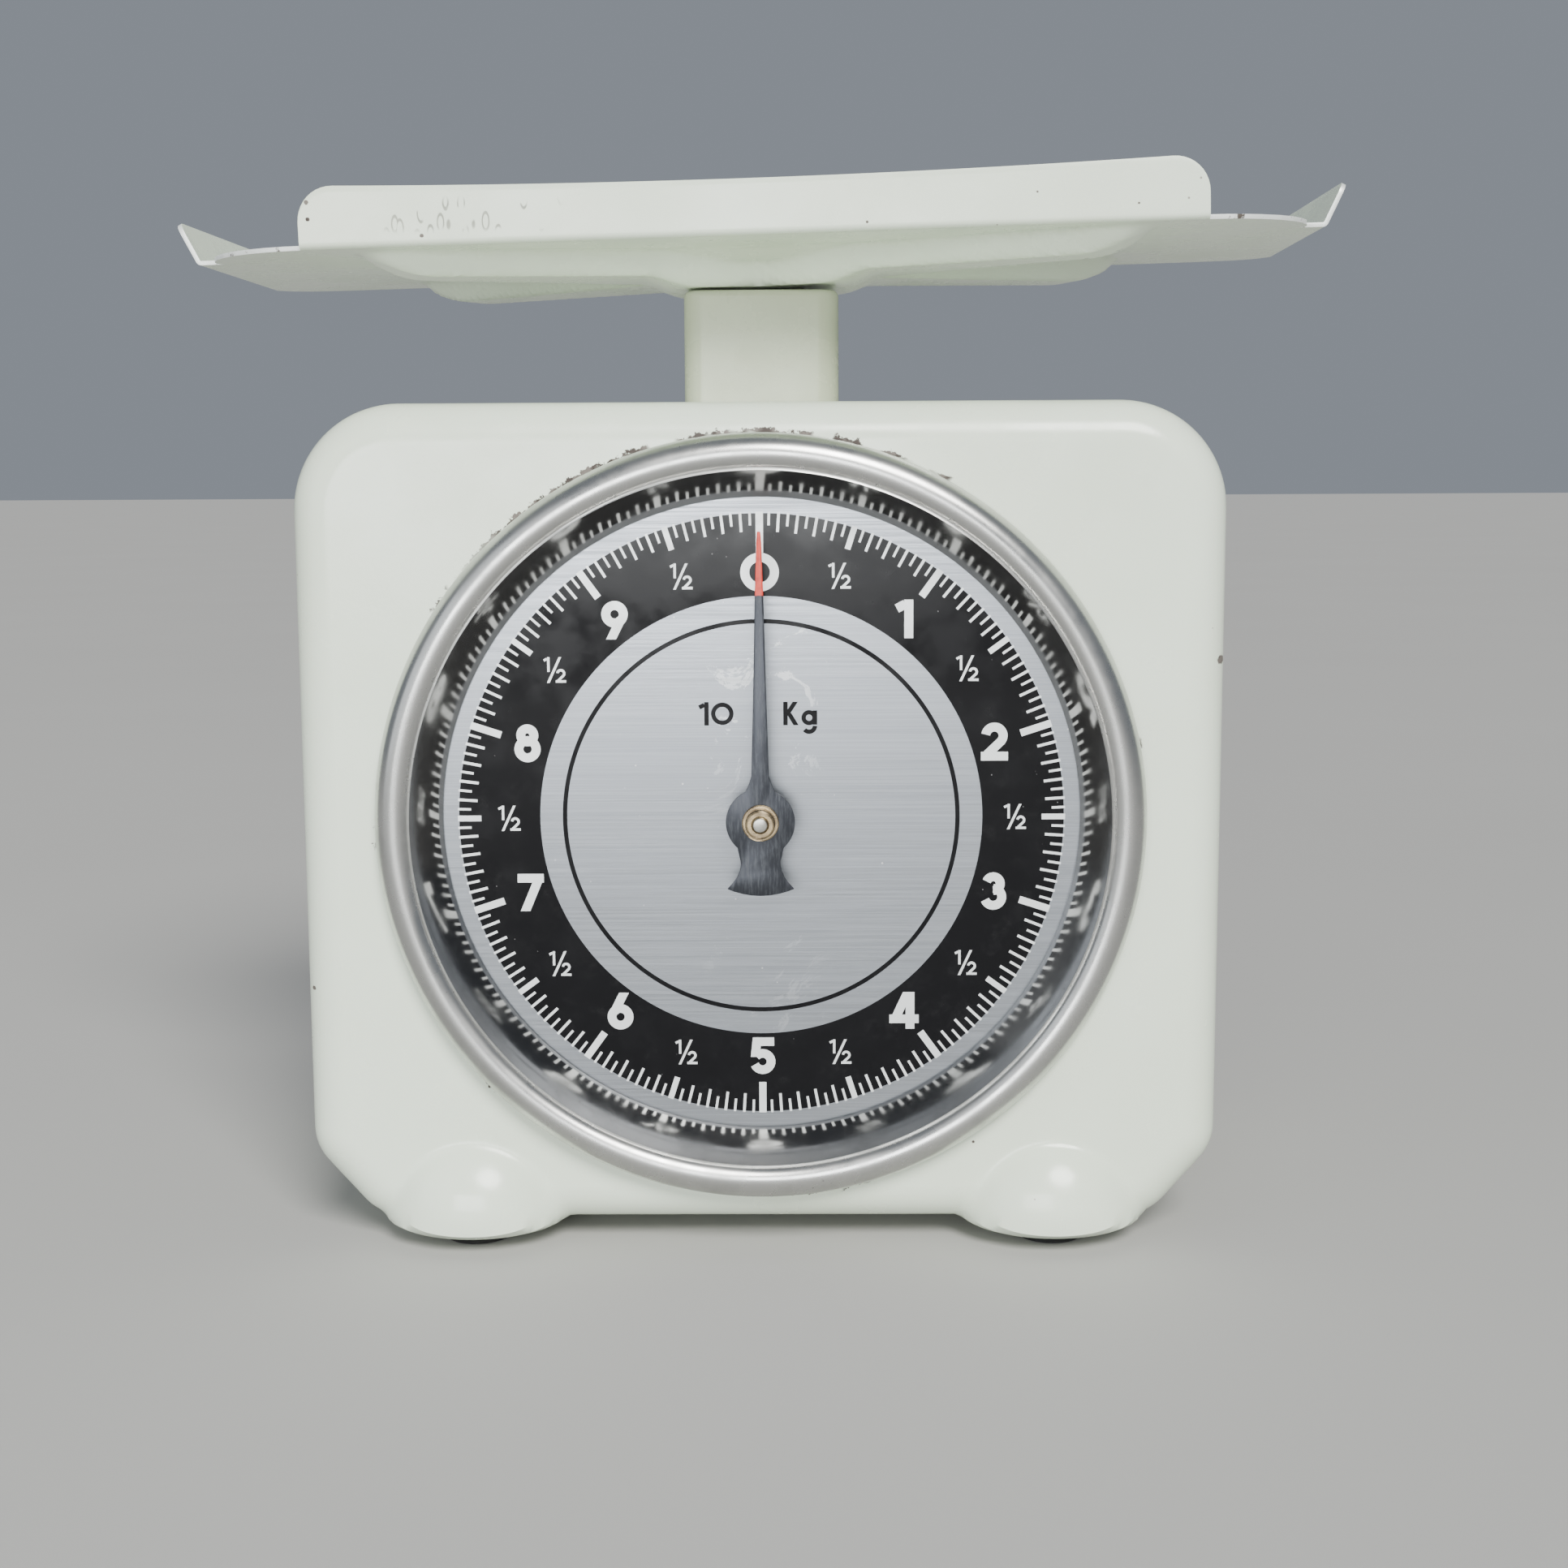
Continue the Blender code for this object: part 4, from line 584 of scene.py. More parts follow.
def case_field(points, ring):
    """Distance to the case with its foot domes melted into it."""
    x, y, z = points.T
    flat = outline_distance(x, z, ring)
    wide, deep = flat + FRONT_EDGE, FRONT - y + FRONT_EDGE
    field = (np.minimum(np.maximum(wide, deep), 0) + np.hypot(np.maximum(wide, 0), np.maximum(deep, 0))
             - FRONT_EDGE)
    for depth in FOOT_DEPTHS.values():
        local = np.stack([np.abs(x) - FOOT_X, y - at(depth), z - FOOT_Z], 1)
        tall = np.where(local[:, 2] > 0, FOOT_RADII[2], FOOT_DROP)
        radii = np.stack([np.full(len(x), FOOT_RADII[0]), np.full(len(x), FOOT_RADII[1]), tall], 1)
        near = np.linalg.norm(local / radii, axis=1)
        far = np.linalg.norm(local / radii ** 2, axis=1)
        dome = near * (near - 1) / np.maximum(far, 1e-6)
        share = np.clip(0.5 + 0.5 * (dome - field) / FOOT_BLEND, 0, 1)
        field = dome * (1 - share) + field * share - FOOT_BLEND * share * (1 - share)
    return field


def build_housing():
    """Pressed shell: flat front round the dial hole, rounded edge, sides, and four domed feet."""
    count, rings, edge_rows = 520, 52, 9
    side_depths = list(range(11, 30, 2)) + [40, 52, 64] + list(range(74, 117, 2))
    ring, normal = even_outline(case_outline(0.0, 12), count)
    inner = ring - normal * FRONT_EDGE
    centre = np.array([0.0, DIAL_Z])
    heading = inner - centre
    heading /= np.linalg.norm(heading, axis=1)[:, None]
    hole = centre + heading * HOLE_RADIUS
    rows, normals = [], []
    forward = np.array([0.0, -1.0, 0.0])
    lift = np.stack([normal[:, 0], np.zeros(count), normal[:, 1]], 1)
    for i in range(rings):
        flat = hole + (inner - hole) * (i / rings)
        rows.append(np.stack([flat[:, 0], np.full(count, FRONT), flat[:, 1]], 1))
        normals.append(np.tile(forward, (count, 1)))
    for i in range(edge_rows + 1):
        a = math.pi / 2 * i / edge_rows
        flat = inner + normal * FRONT_EDGE * math.sin(a)
        y = np.full(count, FRONT + FRONT_EDGE * (1 - math.cos(a)))
        rows.append(np.stack([flat[:, 0], y, flat[:, 1]], 1))
        normals.append(lift * math.sin(a) + forward * math.cos(a))
    for depth in side_depths:
        rows.append(np.stack([ring[:, 0], np.full(count, at(depth)), ring[:, 1]], 1))
        normals.append(lift)
    points, away = np.concatenate(rows), np.concatenate(normals)
    low = (points[:, 2] < 36) & (np.abs(points[:, 0]) > 34)
    reach = np.full(low.sum(), MARCH_REACH)
    for _ in range(MARCH_STEPS):
        reach -= MARCH_SHARE * case_field(points[low] + away[low] * reach[:, None], ring)
        reach = np.maximum(reach, 0)
    points[low] += away[low] * reach[:, None]
    faces = ring_faces(len(rows), count)
    housing = add("case_shell", points, faces, "case", CASE_ENAMEL, "cream_enamel", ["housing"])
    wall = housing.modifiers.new("wall", "SOLIDIFY")
    wall.thickness = SHEET * MM
    wall.offset = -1.0
    half = POST_SLOT_HALF
    slot = rounded_box((-half, POST_Y - half), (half, POST_Y + half), POST_SLOT_CORNER)
    tools = [block("slot", *prism(slot, CASE_TOP - 6, CASE_TOP + 6, "XY")),
             block("knob_hole", *turn([(0, 6), (5.6, 6), (5.6, -6), (0, -6)], 40, "Z",
                                      (0, KNOB_Y, CASE_TOP)))]
    for place, depth in FOOT_DEPTHS.items():
        for side in (-1, 1):
            stem = turn([(0, 7), (2.6, 7), (2.6, -2), (0, -2)], 24, "Z", (side * FOOT_X, at(depth), 0))
            tools.append(block(f"stem_{place}_{side}", *stem))
    cut(housing, tools)
    return housing


def build_feet():
    for place, depth in FOOT_DEPTHS.items():
        for side, hand in ((-1, "left"), (1, "right")):
            profile = [(0, 4.6), (2.4, 4.6), (3.4, 2.9), (2.4, 2.5), (2.4, 0.9), (7.6, 0.9), (8.0, 0.6),
                       (7.9, 0.25), (7.5, 0.0), (3.0, 0.0), (2.6, 0.25), (0, 0.25)]
            verts, faces = turn(profile, 48, "Z", (side * FOOT_X, at(depth), 0.0))
            add(f"rubber_foot_{place}_{hand}", verts, faces, "case", RUBBER, "black_rubber",
                [f"foot_{place}_{hand}"])


def build_cover():
    """Back sheet with rolled edge, and its slotted screws."""
    ring, normal = even_outline(case_outline(1.4, 12), 300)
    front, back = cover_low.y, cover_high.y
    rows = [(0.0, front), (0.0, back - 0.45), (0.2, back - 0.12), (0.5, back)]
    verts = []
    for inset, y in rows:
        verts += [(x, y, z) for x, z in ring - normal * inset]
    count = len(ring)
    faces = ring_faces(len(rows), count)
    faces += [list(range(count)), list(range(3 * count, 4 * count))]
    cover = add("back_sheet", verts, faces, "case", COVER_ENAMEL, "cream_enamel", ["back_cover"])
    holes = []
    for hand in ("left", "right"):
        for level in ("lower", "upper"):
            node = f"cover_screw_{level}_{hand}"
            low, high = span(node)
            middle = (low + high) / 2
            hole = turn([(0, 8), (1.7, 8), (1.7, -8), (0, -8)], 24, "Y", (middle.x, back, middle.z))
            holes.append(block(node + "_hole", *hole))
            slotted_screw(node, "Y", (middle.x, high.y, middle.z), high.y - low.y)
    cut(cover, holes)


def slotted_screw(node, axis, top, length):
    """Pan-head screw with a slot, in place of the plain one; top is the crown of its head."""
    sign = 1 if axis == "Y" else -1
    head = [(0, 0), (1.2, -0.03), (2.1, -0.2), (2.7, -0.6), (2.95, -1.2), (3.0, -1.8)]
    profile = [(r, sign * h) for r, h in head + [(1.5, -1.8), (1.5, -length), (0, -length)]]
    verts, faces = turn(profile, 40, axis, top)
    screw = add("slotted_" + node, verts, faces, "case", SCREW_STEEL, "plated_steel", [node])
    low, high = {"Y": ((-3.5, -0.7, -0.35), (3.5, 0.5, 0.35)),
                 "Z": ((-3.5, -0.35, -0.5), (3.5, 0.35, 0.7))}[axis]
    corners = [(x, y, z) for x in (low[0], high[0]) for y in (low[1], high[1]) for z in (low[2], high[2])]
    angle = Matrix.Rotation(0.6 + len(node) * 0.37 + top[0] * 0.05, 3, axis)
    verts = [tuple(angle @ Vector(c) + Vector(top)) for c in corners]
    faces = [[0, 1, 3, 2], [4, 6, 7, 5], [0, 4, 5, 1], [2, 3, 7, 6], [0, 2, 6, 4], [1, 5, 7, 3]]
    cut(screw, [block("slot_" + node, verts, faces)])


# -------- bezel and dial

CREASE = (77.8, -5.5)           # radius and depth where the flare turns into the bead
FLARE_FOOT = 72.0
BEZEL_PROUD = 7.0


def build_bezel():
    """Half-round bead, soft crease, flared mirror wall down to the dial, and a skirt into the case."""
    bead = [(BEZEL_RADIUS, -0.3)] + arc((81.4, -1.6), (BEZEL_RADIUS - 81.4, BEZEL_PROUD - 1.6), 0, -90, 18)
    bead += arc((81.4, -4.2), (3.35, BEZEL_PROUD - 4.2), -90, -158, 10)[1:]
    foot = DIAL_Y - FRONT - 0.3
    steps = [i / 12 for i in range(13)]
    flare = [(CREASE[0] + (FLARE_FOOT - CREASE[0]) * t - 0.12 * math.sin(math.pi * t),
              CREASE[1] + (foot - 0.4 - CREASE[1]) * t) for t in steps]
    back = [(FLARE_FOOT + 0.2, foot), (FLARE_FOOT + 1.5, foot), (CREASE[0] + 0.1, -3.2), (78.6, -3.2),
            (78.6, 3.0), (79.6, 3.0), (79.6, -0.3)]
    verts, faces = turn(bead + flare + back, 288, "Y", (0.0, FRONT, DIAL_Z))
    bezel = add("bezel_ring", verts, faces, "case", BEZEL_METAL, "polished_aluminium", ["bezel"],
                sharp=32.0)
    bezel.data.materials.append(FLARE_METAL)
    for polygon in bezel.data.polygons:
        middle = polygon.center / MM
        if math.hypot(middle.x, middle.z - DIAL_Z) < CREASE[0] and polygon.normal.y < 0:
            polygon.material_index = 1


def ring_band(name, inner, outer, low, high, material, steps=256):
    profile = [(inner, low), (outer, low), (outer, high), (inner, high)]
    verts, faces = turn(profile, steps, "Y", (0.0, DIAL_Y, DIAL_Z))
    return add(name, verts, faces, "case", material, "dial_aluminium")


def strokes_mesh(lines, width, low, high, step=0.0):
    """Flat strokes of one width as thin solids on the dial, each a step further out than the last."""
    verts, faces = [], []
    for number, line in enumerate(lines):
        points = [Vector(p) for p in line]
        closed = (points[0] - points[-1]).length < 1e-6
        if closed:
            points = points[:-1]
        count = len(points)
        left, right = [], []
        for i, point in enumerate(points):
            before = points[i - 1] if (i or closed) else None
            after = points[(i + 1) % count] if (i < count - 1 or closed) else None
            first = (point - before).normalized() if before is not None else (after - point).normalized()
            second = (after - point).normalized() if after is not None else first
            side = Vector((-(first.y + second.y), first.x + second.x)).normalized()
            reach = width / 2 / max(0.35, side.dot(Vector((-first.y, first.x))))
            if count == 2 and step and abs(first.y) > 0.5:
                side, reach = Vector((-math.copysign(1.0, first.y), 0.0)), width / 2 / abs(first.y)
            left.append(point + side * reach)
            right.append(point - side * reach)
        base = len(verts)
        front = low - step * (number % 4)
        for pair in zip(left, right):
            for p in pair:
                verts += [(p.x, DIAL_Y + front, p.y), (p.x, DIAL_Y + high, p.y)]
        last = count if closed else count - 1
        for i in range(last):
            a, b = base + 4 * i, base + 4 * ((i + 1) % count)
            faces += [[a, b, b + 2, a + 2], [a + 1, a + 3, b + 3, b + 1], [a, a + 1, b + 1, b],
                      [a + 2, b + 2, b + 3, a + 3]]
        if not closed:
            a, b = base, base + 4 * (count - 1)
            faces += [[a, a + 2, a + 3, a + 1], [b, b + 1, b + 3, b + 2]]
    return verts, faces


def glyphs():
    """Centre lines of plain rounded capitals, one unit tall."""
    def round_(cx, cy, r, start, end, count=18):
        return arc((cx, cy), r, start, end, count)
    return {
        "0": [round_(0, 0.5, 0.385, 0, 360, 44)],
        "1": [[(0.09, 0.0), (0.09, 1.0)], [(-0.22, 0.77), (0.0, 0.885)]],
        "2": [round_(0, 0.655, 0.228, 172, -38) + [(-0.19, 0.16)], [(-0.35, 0.115), (0.36, 0.115)]],
        "3": [round_(0.0, 0.70, 0.185, 160, -90), round_(0.0, 0.345, 0.228, 90, -160)],
        "4": [[(0.15, 0.0), (0.15, 1.0)], [(-0.26, 0.24), (0.09, 1.0)], [(-0.40, 0.27), (0.38, 0.27)]],
        "5": [[(-0.22, 0.885), (0.31, 0.885)], [(-0.20, 0.47), (-0.14, 1.0)],
              round_(0.0, 0.34, 0.225, 140, -158)],
        "6": [round_(0.0, 0.345, 0.228, 0, 360, 32), [(-0.19, 0.42), (0.10, 1.0)]],
        "7": [[(-0.33, 0.885), (0.36, 0.885)], [(-0.14, 0.0), (0.24, 0.9)]],
        "8": [round_(0.0, 0.71, 0.172, 0, 360, 28), round_(0.0, 0.345, 0.228, 0, 360, 32)],
        "9": [round_(0.0, 0.655, 0.228, 0, 360, 32), [(-0.10, 0.0), (0.19, 0.58)]],
        "K": [[(-0.2, 0.0), (-0.2, 1.0)], [(-0.16, 0.42), (0.22, 1.0)], [(0.25, 0.0), (-0.06, 0.52)]],
        "g": [round_(0, 0.32, 0.23, 0, 360, 28), [(0.25, 0.02), (0.25, 0.63)],
              round_(0.0, -0.03, 0.25, 0, -140)],
    }


GLYPHS = glyphs()


def written(text, x, z, height, spacing=0.78):
    """Strokes of a word centred at a point of the dial."""
    lines = []
    start = x - spacing * height * (len(text) - 1) / 2
    for i, letter in enumerate(text):
        for line in GLYPHS[letter]:
            left = start + i * spacing * height
            lines.append([(left + u * height, z + (v - 0.5) * height) for u, v in line])
    return lines


# every so many steps: inner radius and width of the tick
TICKS = ((200, (59.6, 1.64)), (20, (61.5, 1.64)), (10, (63.4, 1.3)), (2, (64.3, 0.62)), (1, (65.7, 0.55)))


def build_dial():
    """Printed band with ticks left bare, figures, halves, a ring and the capacity."""
    ring_band("dial_band", 50.0, 68.4, -0.03, -0.005, BLACK_INK)
    ring_band("dial_ring_line", 43.9, 44.9, -0.03, -0.005, BLACK_INK)
    ticks = []
    for step in range(200):
        angle = 2 * math.pi * step / 200
        inner, width = next(size for every, size in TICKS if step % every == 0)
        s, c = math.sin(angle), math.cos(angle)
        ticks.append((width, [(s * inner, DIAL_Z + c * inner), (s * 68.7, DIAL_Z + c * 68.7)]))
    verts, faces = [], []
    for width, line in ticks:
        more, loops = strokes_mesh([line], width, -0.05, -0.01)
        faces += [[i + len(verts) for i in loop] for loop in loops]
        verts += more
    add("dial_ticks", verts, faces, "case", MARK_METAL, "dial_aluminium")
    figures, halves = [], []
    for k in range(10):
        angle = 2 * math.pi * k / 10
        figures += written(str(k), 55.3 * math.sin(angle), DIAL_Z + 55.3 * math.cos(angle), 8.6)
        angle += math.pi / 10
        x, z = 57.2 * math.sin(angle), DIAL_Z + 57.2 * math.cos(angle)
        halves += written("1", x - 1.55, z + 1.25, 3.3) + written("2", x + 1.5, z - 1.3, 3.3)
        halves.append([(x - 1.35, z - 2.9), (x + 1.35, z + 2.9)])
    unit = written("10", -10.6, DIAL_Z + 23.6, 5.3, 0.76) + written("Kg", 8.8, DIAL_Z + 23.6, 5.3, 0.80)
    for name, lines, size, material in (("dial_figures", figures, (2.0, -0.05, -0.01, 0.012), MARK_METAL),
                                        ("dial_halves", halves, (0.55, -0.05, -0.01, 0.012), MARK_METAL),
                                        ("dial_capacity", unit, (1.0, -0.03, -0.005, 0.006), BLACK_INK)):
        add(name, *strokes_mesh(lines, *size), "case", material, "dial_aluminium")


# -------- pointer


def build_pointer():
    low, high = span("pointer")
    blade = [(0.35, 64.9), (0.55, 62.0), (0.95, 50.0), (1.45, 28.0), (1.95, 10.5), (2.6, 8.4)]
    hub = arc((0.0, 0.0), 7.7, 64, -48, 22)
    tail = [(4.75, -7.6), (4.5, -8.6), (4.45, -9.6), (4.7, -10.9), (5.3, -12.3), (6.3, -13.7), (7.5, -15.0)]
    tail += [(6.0, -15.6), (4.0, -16.15), (2.0, -16.5)]
    right = [(x, min(z, 64.45)) for x, z in blade + hub + tail]
    outline = right + [(0.0, -16.6)] + [(-x, z) for x, z in reversed(right)]
    verts, faces = prism([(x, DIAL_Z + z) for x, z in outline], low.y, high.y, "XZ")
    blade = add("pointer_blade", verts, faces, "pointer", POINTER_METAL, "blued_steel", ["pointer"])
    round_edges(blade, 0.14, 50)
    apply_modifiers(blade)
    bore = turn([(0, 4), (1.74, 4), (1.74, -4), (0, -4)], 48, "Y", (0, low.y, DIAL_Z))
    cut(blade, [block("pointer_bore", *bore)])
    for name, node, steps, material, slot, profile in (
            ("hub_washer", "pointer_washer", 64, BRASS, "brass", lambda a, b: [
                (1.75, b), (3.9, b), (4.1, b - 0.15), (4.1, a + 0.2), (3.85, a), (1.75, a)]),
            ("hub_nut", "pointer_nut", 64, BRASS, "brass", lambda a, b: [
                (1.75, b), (3.1, b), (3.3, b - 0.2), (3.3, a + 0.7), (3.15, a + 0.25), (2.8, a), (2.0, a),
                (1.75, a + 0.3)]),
            ("shaft", "pointer_shaft", 48, STEEL, "plated_steel", lambda a, b: [
                (0, b), (1.4, b), (1.7, b - 0.4), (1.7, a + 0.5), (1.45, a + 0.12), (1.0, a), (0, a)]),
            ("hub_boss", "pointer_boss", 64, BRASS, "brass", lambda a, b: [
                (1.75, b), (2.6, b), (2.6, a + 1.2), (3.4, a + 1.0), (3.6, a + 0.8), (3.6, a), (1.75, a)])):
        low, high = span(node)
        verts, faces = turn(profile(low.y, high.y), steps, "Y", (0.0, 0.0, DIAL_Z))
        add(name, verts, faces, "pointer", material, slot, [node])


# -------- post and tray


def build_post():
    """Hollow square column with round corners, a flared foot and a rounded top."""
    half, corner, foot, edge = 18.25, 5.0, 3.2, 1.6
    bottom, top = post_low.z, post_high.z
    rings = [(half + foot, corner + foot, bottom), (half + 0.6, corner + 0.6, bottom),
             (half, corner, bottom + 0.6), (half, corner, bottom + 12), (half, corner, top - edge)]
    for a in (0.4, 0.8, 1.2, math.pi / 2):
        inset = edge * (1 - math.cos(a))
        rings.append((half - inset, corner - inset, top - edge * (1 - math.sin(a))))
    rings.append((12.0, 2.0, top))
    verts = []
    for reach, radius, z in rings:
        verts += [(x, POST_Y + y, z) for x, y in rounded_box((-reach, -reach), (reach, reach), radius, 10)]
    count = len(verts) // len(rings)
    faces = ring_faces(len(rings), count)
    post = add("post_column", verts, faces, "load", POST_SHADED_ENAMEL, "post_enamel", ["post"])
    wall = post.modifiers.new("wall", "SOLIDIFY")
    wall.thickness = 1.2 * MM
    wall.offset = -1.0
    apply_modifiers(post)


TILT, SWING, SHIFT = 0.025, -0.026, 0.2
BASE_Z = 227.5
BEND = 1.4
WING_RISE = 9.68
LIPS = {"front": 100.0, "rear": 112.0}
WING = (-26.0, 43.0)
# depth and half width of the base's outline, from the front lip to the rear one
OUTLINE = ((-49.6, 100.0), (-49.2, 104.0), (-48.2, 108.0), (-46.4, 112.0), (-43.5, 116.5), (-40.0, 120.0),
           (-36.0, 122.7), (-32.0, 124.4), (-29.0, 125.0), (-27.4, 124.8), (-26.2, 123.6), (-26.0, 129.2),
           (43.0, 129.2), (46.5, 126.0), (48.6, 121.0), (49.6, 112.0))
ARM_TIP = (82.3, 37.6)
ARM_HALF, ARM_NARROWING, ARM_WALL, ARM_NOSE = 17.5, 9.5, 3.3, (8.0, 17.0)
ARM_DROP, BOSS_DROP, BOSS_REACH, BOSS_SLOPE = 5.6, 8.1, 29.0, 9.0
ARM_MELT = 1.6                  # how far neighbouring arms melt into each other
LIP_HEIGHT, LIP_SAG, LIP_ROUND = 13.8, 1.8, 8.0
WING_ROUND = 2.5


def tray_matrix():
    """From the tray's own frame, on its base over the post, to where it leans."""
    top = post_high.z
    return (Matrix.Translation((SHIFT, POST_Y, top)) @ Matrix.Rotation(SWING, 4, "Z")
            @ Matrix.Rotation(-TILT, 4, "Y") @ Matrix.Translation((0, 0, BASE_Z - top)))


def pressing(u, v):
    """How far the X-shaped pressing and its boss drop below the base."""
    length = math.hypot(*ARM_TIP)
    drop = np.zeros(len(u))
    for sx, sy in ((1, 1), (-1, 1), (-1, -1), (1, -1)):
        ax, ay = sx * ARM_TIP[0] / length, sy * ARM_TIP[1] / length
        run = u * ax + v * ay
        along = np.clip(run, 0, length)
        side = ARM_HALF - ARM_NARROWING * along / length - np.hypot(u - along * ax, v - along * ay)
        wall = np.clip(side / ARM_WALL, 0, 1)
        nose = np.clip((length + ARM_NOSE[0] - run) / ARM_NOSE[1], 0, 1)
        arm = ARM_DROP * (wall ** 2 * (3 - 2 * wall)) * np.sin(nose * math.pi / 2)
        blend = np.clip(ARM_MELT - np.abs(drop - arm), 0, None)
        drop = (np.maximum(drop, arm)
                + blend ** 2 / (4 * ARM_MELT) * np.minimum(1.0, np.minimum(drop, arm)))
    drop = np.minimum(drop, ARM_DROP)
    step = np.clip((BOSS_REACH - (np.abs(u) ** 4 + np.abs(v) ** 4) ** 0.25) / BOSS_SLOPE, 0, 1)
    return drop + (BOSS_DROP - ARM_DROP) * step ** 2 * (3 - 2 * step)


def edge_samples(half, fine, step):
    """Positions across a lip from its middle to its end, close together where its corner is round."""
    flat = half - fine
    inner = list(np.linspace(0, flat, max(2, int(flat / step)) + 1))
    return inner + [flat + fine * math.sin(a) for a in np.linspace(0, math.pi / 2, 11)[1:]]


def build_tray():
    """Folded sheet: dished base with an X pressing, two upright lips and two leaning wings."""
    half_front = edge_samples(LIPS["front"], LIP_ROUND, 1.25)
    share = [s / half_front[-1] for s in half_front]
    shares = np.array([-s for s in reversed(share[1:])] + share)
    outline_v, outline_u = zip(*OUTLINE)
    near_ends = [WING[0] + d for d in (0.35, 0.9, 1.7)] + [WING[1] - d for d in (0.35, 0.9, 1.7)]
    rows_v = np.unique(np.concatenate([np.arange(-46.5, 46.6, 1.25), outline_v, near_ends]))
    rows_v = rows_v[np.concatenate([[True], np.diff(rows_v) > 0.15])]
    verts, index = [], {}
    count = len(shares)
    for r, v in enumerate(rows_v):
        half = float(np.interp(v, outline_v, outline_u))
        u = shares * half
        drop = pressing(u, np.full(count, v))
        for c in range(count):
            index[r, c] = len(verts)
            verts.append((u[c], v, -drop[c]))
    faces = [[index[r, c], index[r, c + 1], index[r + 1, c + 1], index[r + 1, c]]
             for r in range(len(rows_v) - 1) for c in range(count - 1)]

    def fold(edge, outward, rises, lean=0.0):
        """Add a flange along a row of vertices: a bend, then a wall that leans outwards."""
        quarter = math.radians(90) - lean
        lines = [edge]
        out = Vector(outward)
        for i in range(1, 6):
            a = quarter * i / 5
            line = []
            for k in edge:
                line.append(len(verts))
                lift = Vector((0, 0, BEND * (1 - math.cos(a))))
                verts.append(tuple(Vector(verts[k]) + out * BEND * math.sin(a) + lift))
            lines.append(line)
        heading = out * math.cos(quarter) + Vector((0, 0, math.sin(quarter)))
        foot = lines[-1]
        for i in range(1, 9):
            t = i / 8
            line = []
            for k, rise in zip(foot, rises):
                line.append(len(verts))
                verts.append(tuple(Vector(verts[k]) + heading * rise * t))
            lines.append(line)
        for lower, upper in zip(lines, lines[1:]):
            for i in range(len(edge) - 1):
                faces.append([lower[i], lower[i + 1], upper[i + 1], upper[i]])

    def lip_rises(edge, half):
        rises = []
        for k in edge:
            u = abs(verts[k][0])
            top = LIP_HEIGHT - LIP_SAG * (1 - (u / half) ** 2) - BEND
            near = min(LIP_ROUND, max(0.0, LIP_ROUND - (half - u)))
            rises.append(max(0.6, top - (LIP_ROUND - math.sqrt(max(0.0, LIP_ROUND ** 2 - near ** 2)))))
        return rises

    def wing_rises(edge):
        rises = []
        for k in edge:
            near = max(0.0, WING_ROUND - min(verts[k][1] - WING[0], WING[1] - verts[k][1]))
            rises.append(WING_RISE - (WING_ROUND - math.sqrt(max(0.0, WING_ROUND ** 2 - near ** 2))))
        return rises
    front = [index[0, c] for c in range(count)]
    rear = [index[len(rows_v) - 1, c] for c in range(count)]
    fold(front, (0, -1, 0), lip_rises(front, LIPS["front"]))
    fold(rear, (0, 1, 0), lip_rises(rear, LIPS["rear"]))
    lean = math.atan2(5.7, 11.5)
    wing_rows = [r for r, v in enumerate(rows_v) if WING[0] <= v <= WING[1]]
    for column, outward in ((0, (-1, 0, 0)), (count - 1, (1, 0, 0))):
        edge = [index[r, column] for r in wing_rows]
        fold(edge, outward, wing_rises(edge), lean)
    pose = tray_matrix()
    verts = [tuple(pose @ Vector(v)) for v in verts]
    tray = add("tray_pan", verts, faces, "tray", TRAY_ENAMEL, "cream_enamel", ["tray"], sharp=50.0)
    below = [p for p in tray.data.polygons
             if abs((p.center / MM).x) < 20 and abs((p.center / MM).y - POST_Y) < 20]
    if sum(p.normal.z for p in below) > 0:
        tray.data.flip_normals()
    tray.data.materials.append(BARE_EDGE)
    sheet = tray.modifiers.new("sheet", "SOLIDIFY")
    sheet.thickness = 1.0 * MM
    sheet.offset = -1.0
    sheet.material_offset_rim = 1
    round_edges(tray, 0.22, 60).material = 1
    apply_modifiers(tray, 50.0)


def build_knob():
    """Knurled disc with a dished top and a hub down to the bridge."""
    low, high = span("zero_knob")
    ridges, per = 40, 6
    steps = ridges * per
    height = high.z - CASE_TOP - 0.3
    base = CASE_TOP + 0.3
    rows = [(1.98, low.z), (5.0, low.z), (5.0, base), (8.2, base), (8.9, base + 0.5),
            (8.9, base + height - 0.8), (8.3, base + height - 0.1), (7.4, base + height),
            (6.6, base + height - 0.5), (3.2, base + height - 0.7), (1.98, base + height - 0.7)]
    verts, faces = turn(rows, steps, "Z", (0.0, KNOB_Y, 0.0))
    shaped = []
    for x, y, z in verts:
        radius = math.hypot(x, y - KNOB_Y)
        if radius > 8.6:
            a = math.atan2(y - KNOB_Y, x)
            grown = radius + 0.1 * math.cos(a * ridges) - 0.1
            x, y = grown * math.cos(a), KNOB_Y + grown * math.sin(a)
        shaped.append((x, y, z))
    add("knurled_knob", shaped, faces, "zero_knob", KNOB_PLASTIC, "knob_plastic", ["zero_knob"])


build_housing()
build_feet()
build_cover()
for node in ("floor_screw_1", "floor_screw_2"):
    low, high = span(node)
    slotted_screw(node, "Z", ((low.x + high.x) / 2, (low.y + high.y) / 2, low.z), high.z - low.z)
build_bezel()
build_dial()
build_pointer()
build_post()
build_tray()
build_knob()


# -------- floor, light and camera


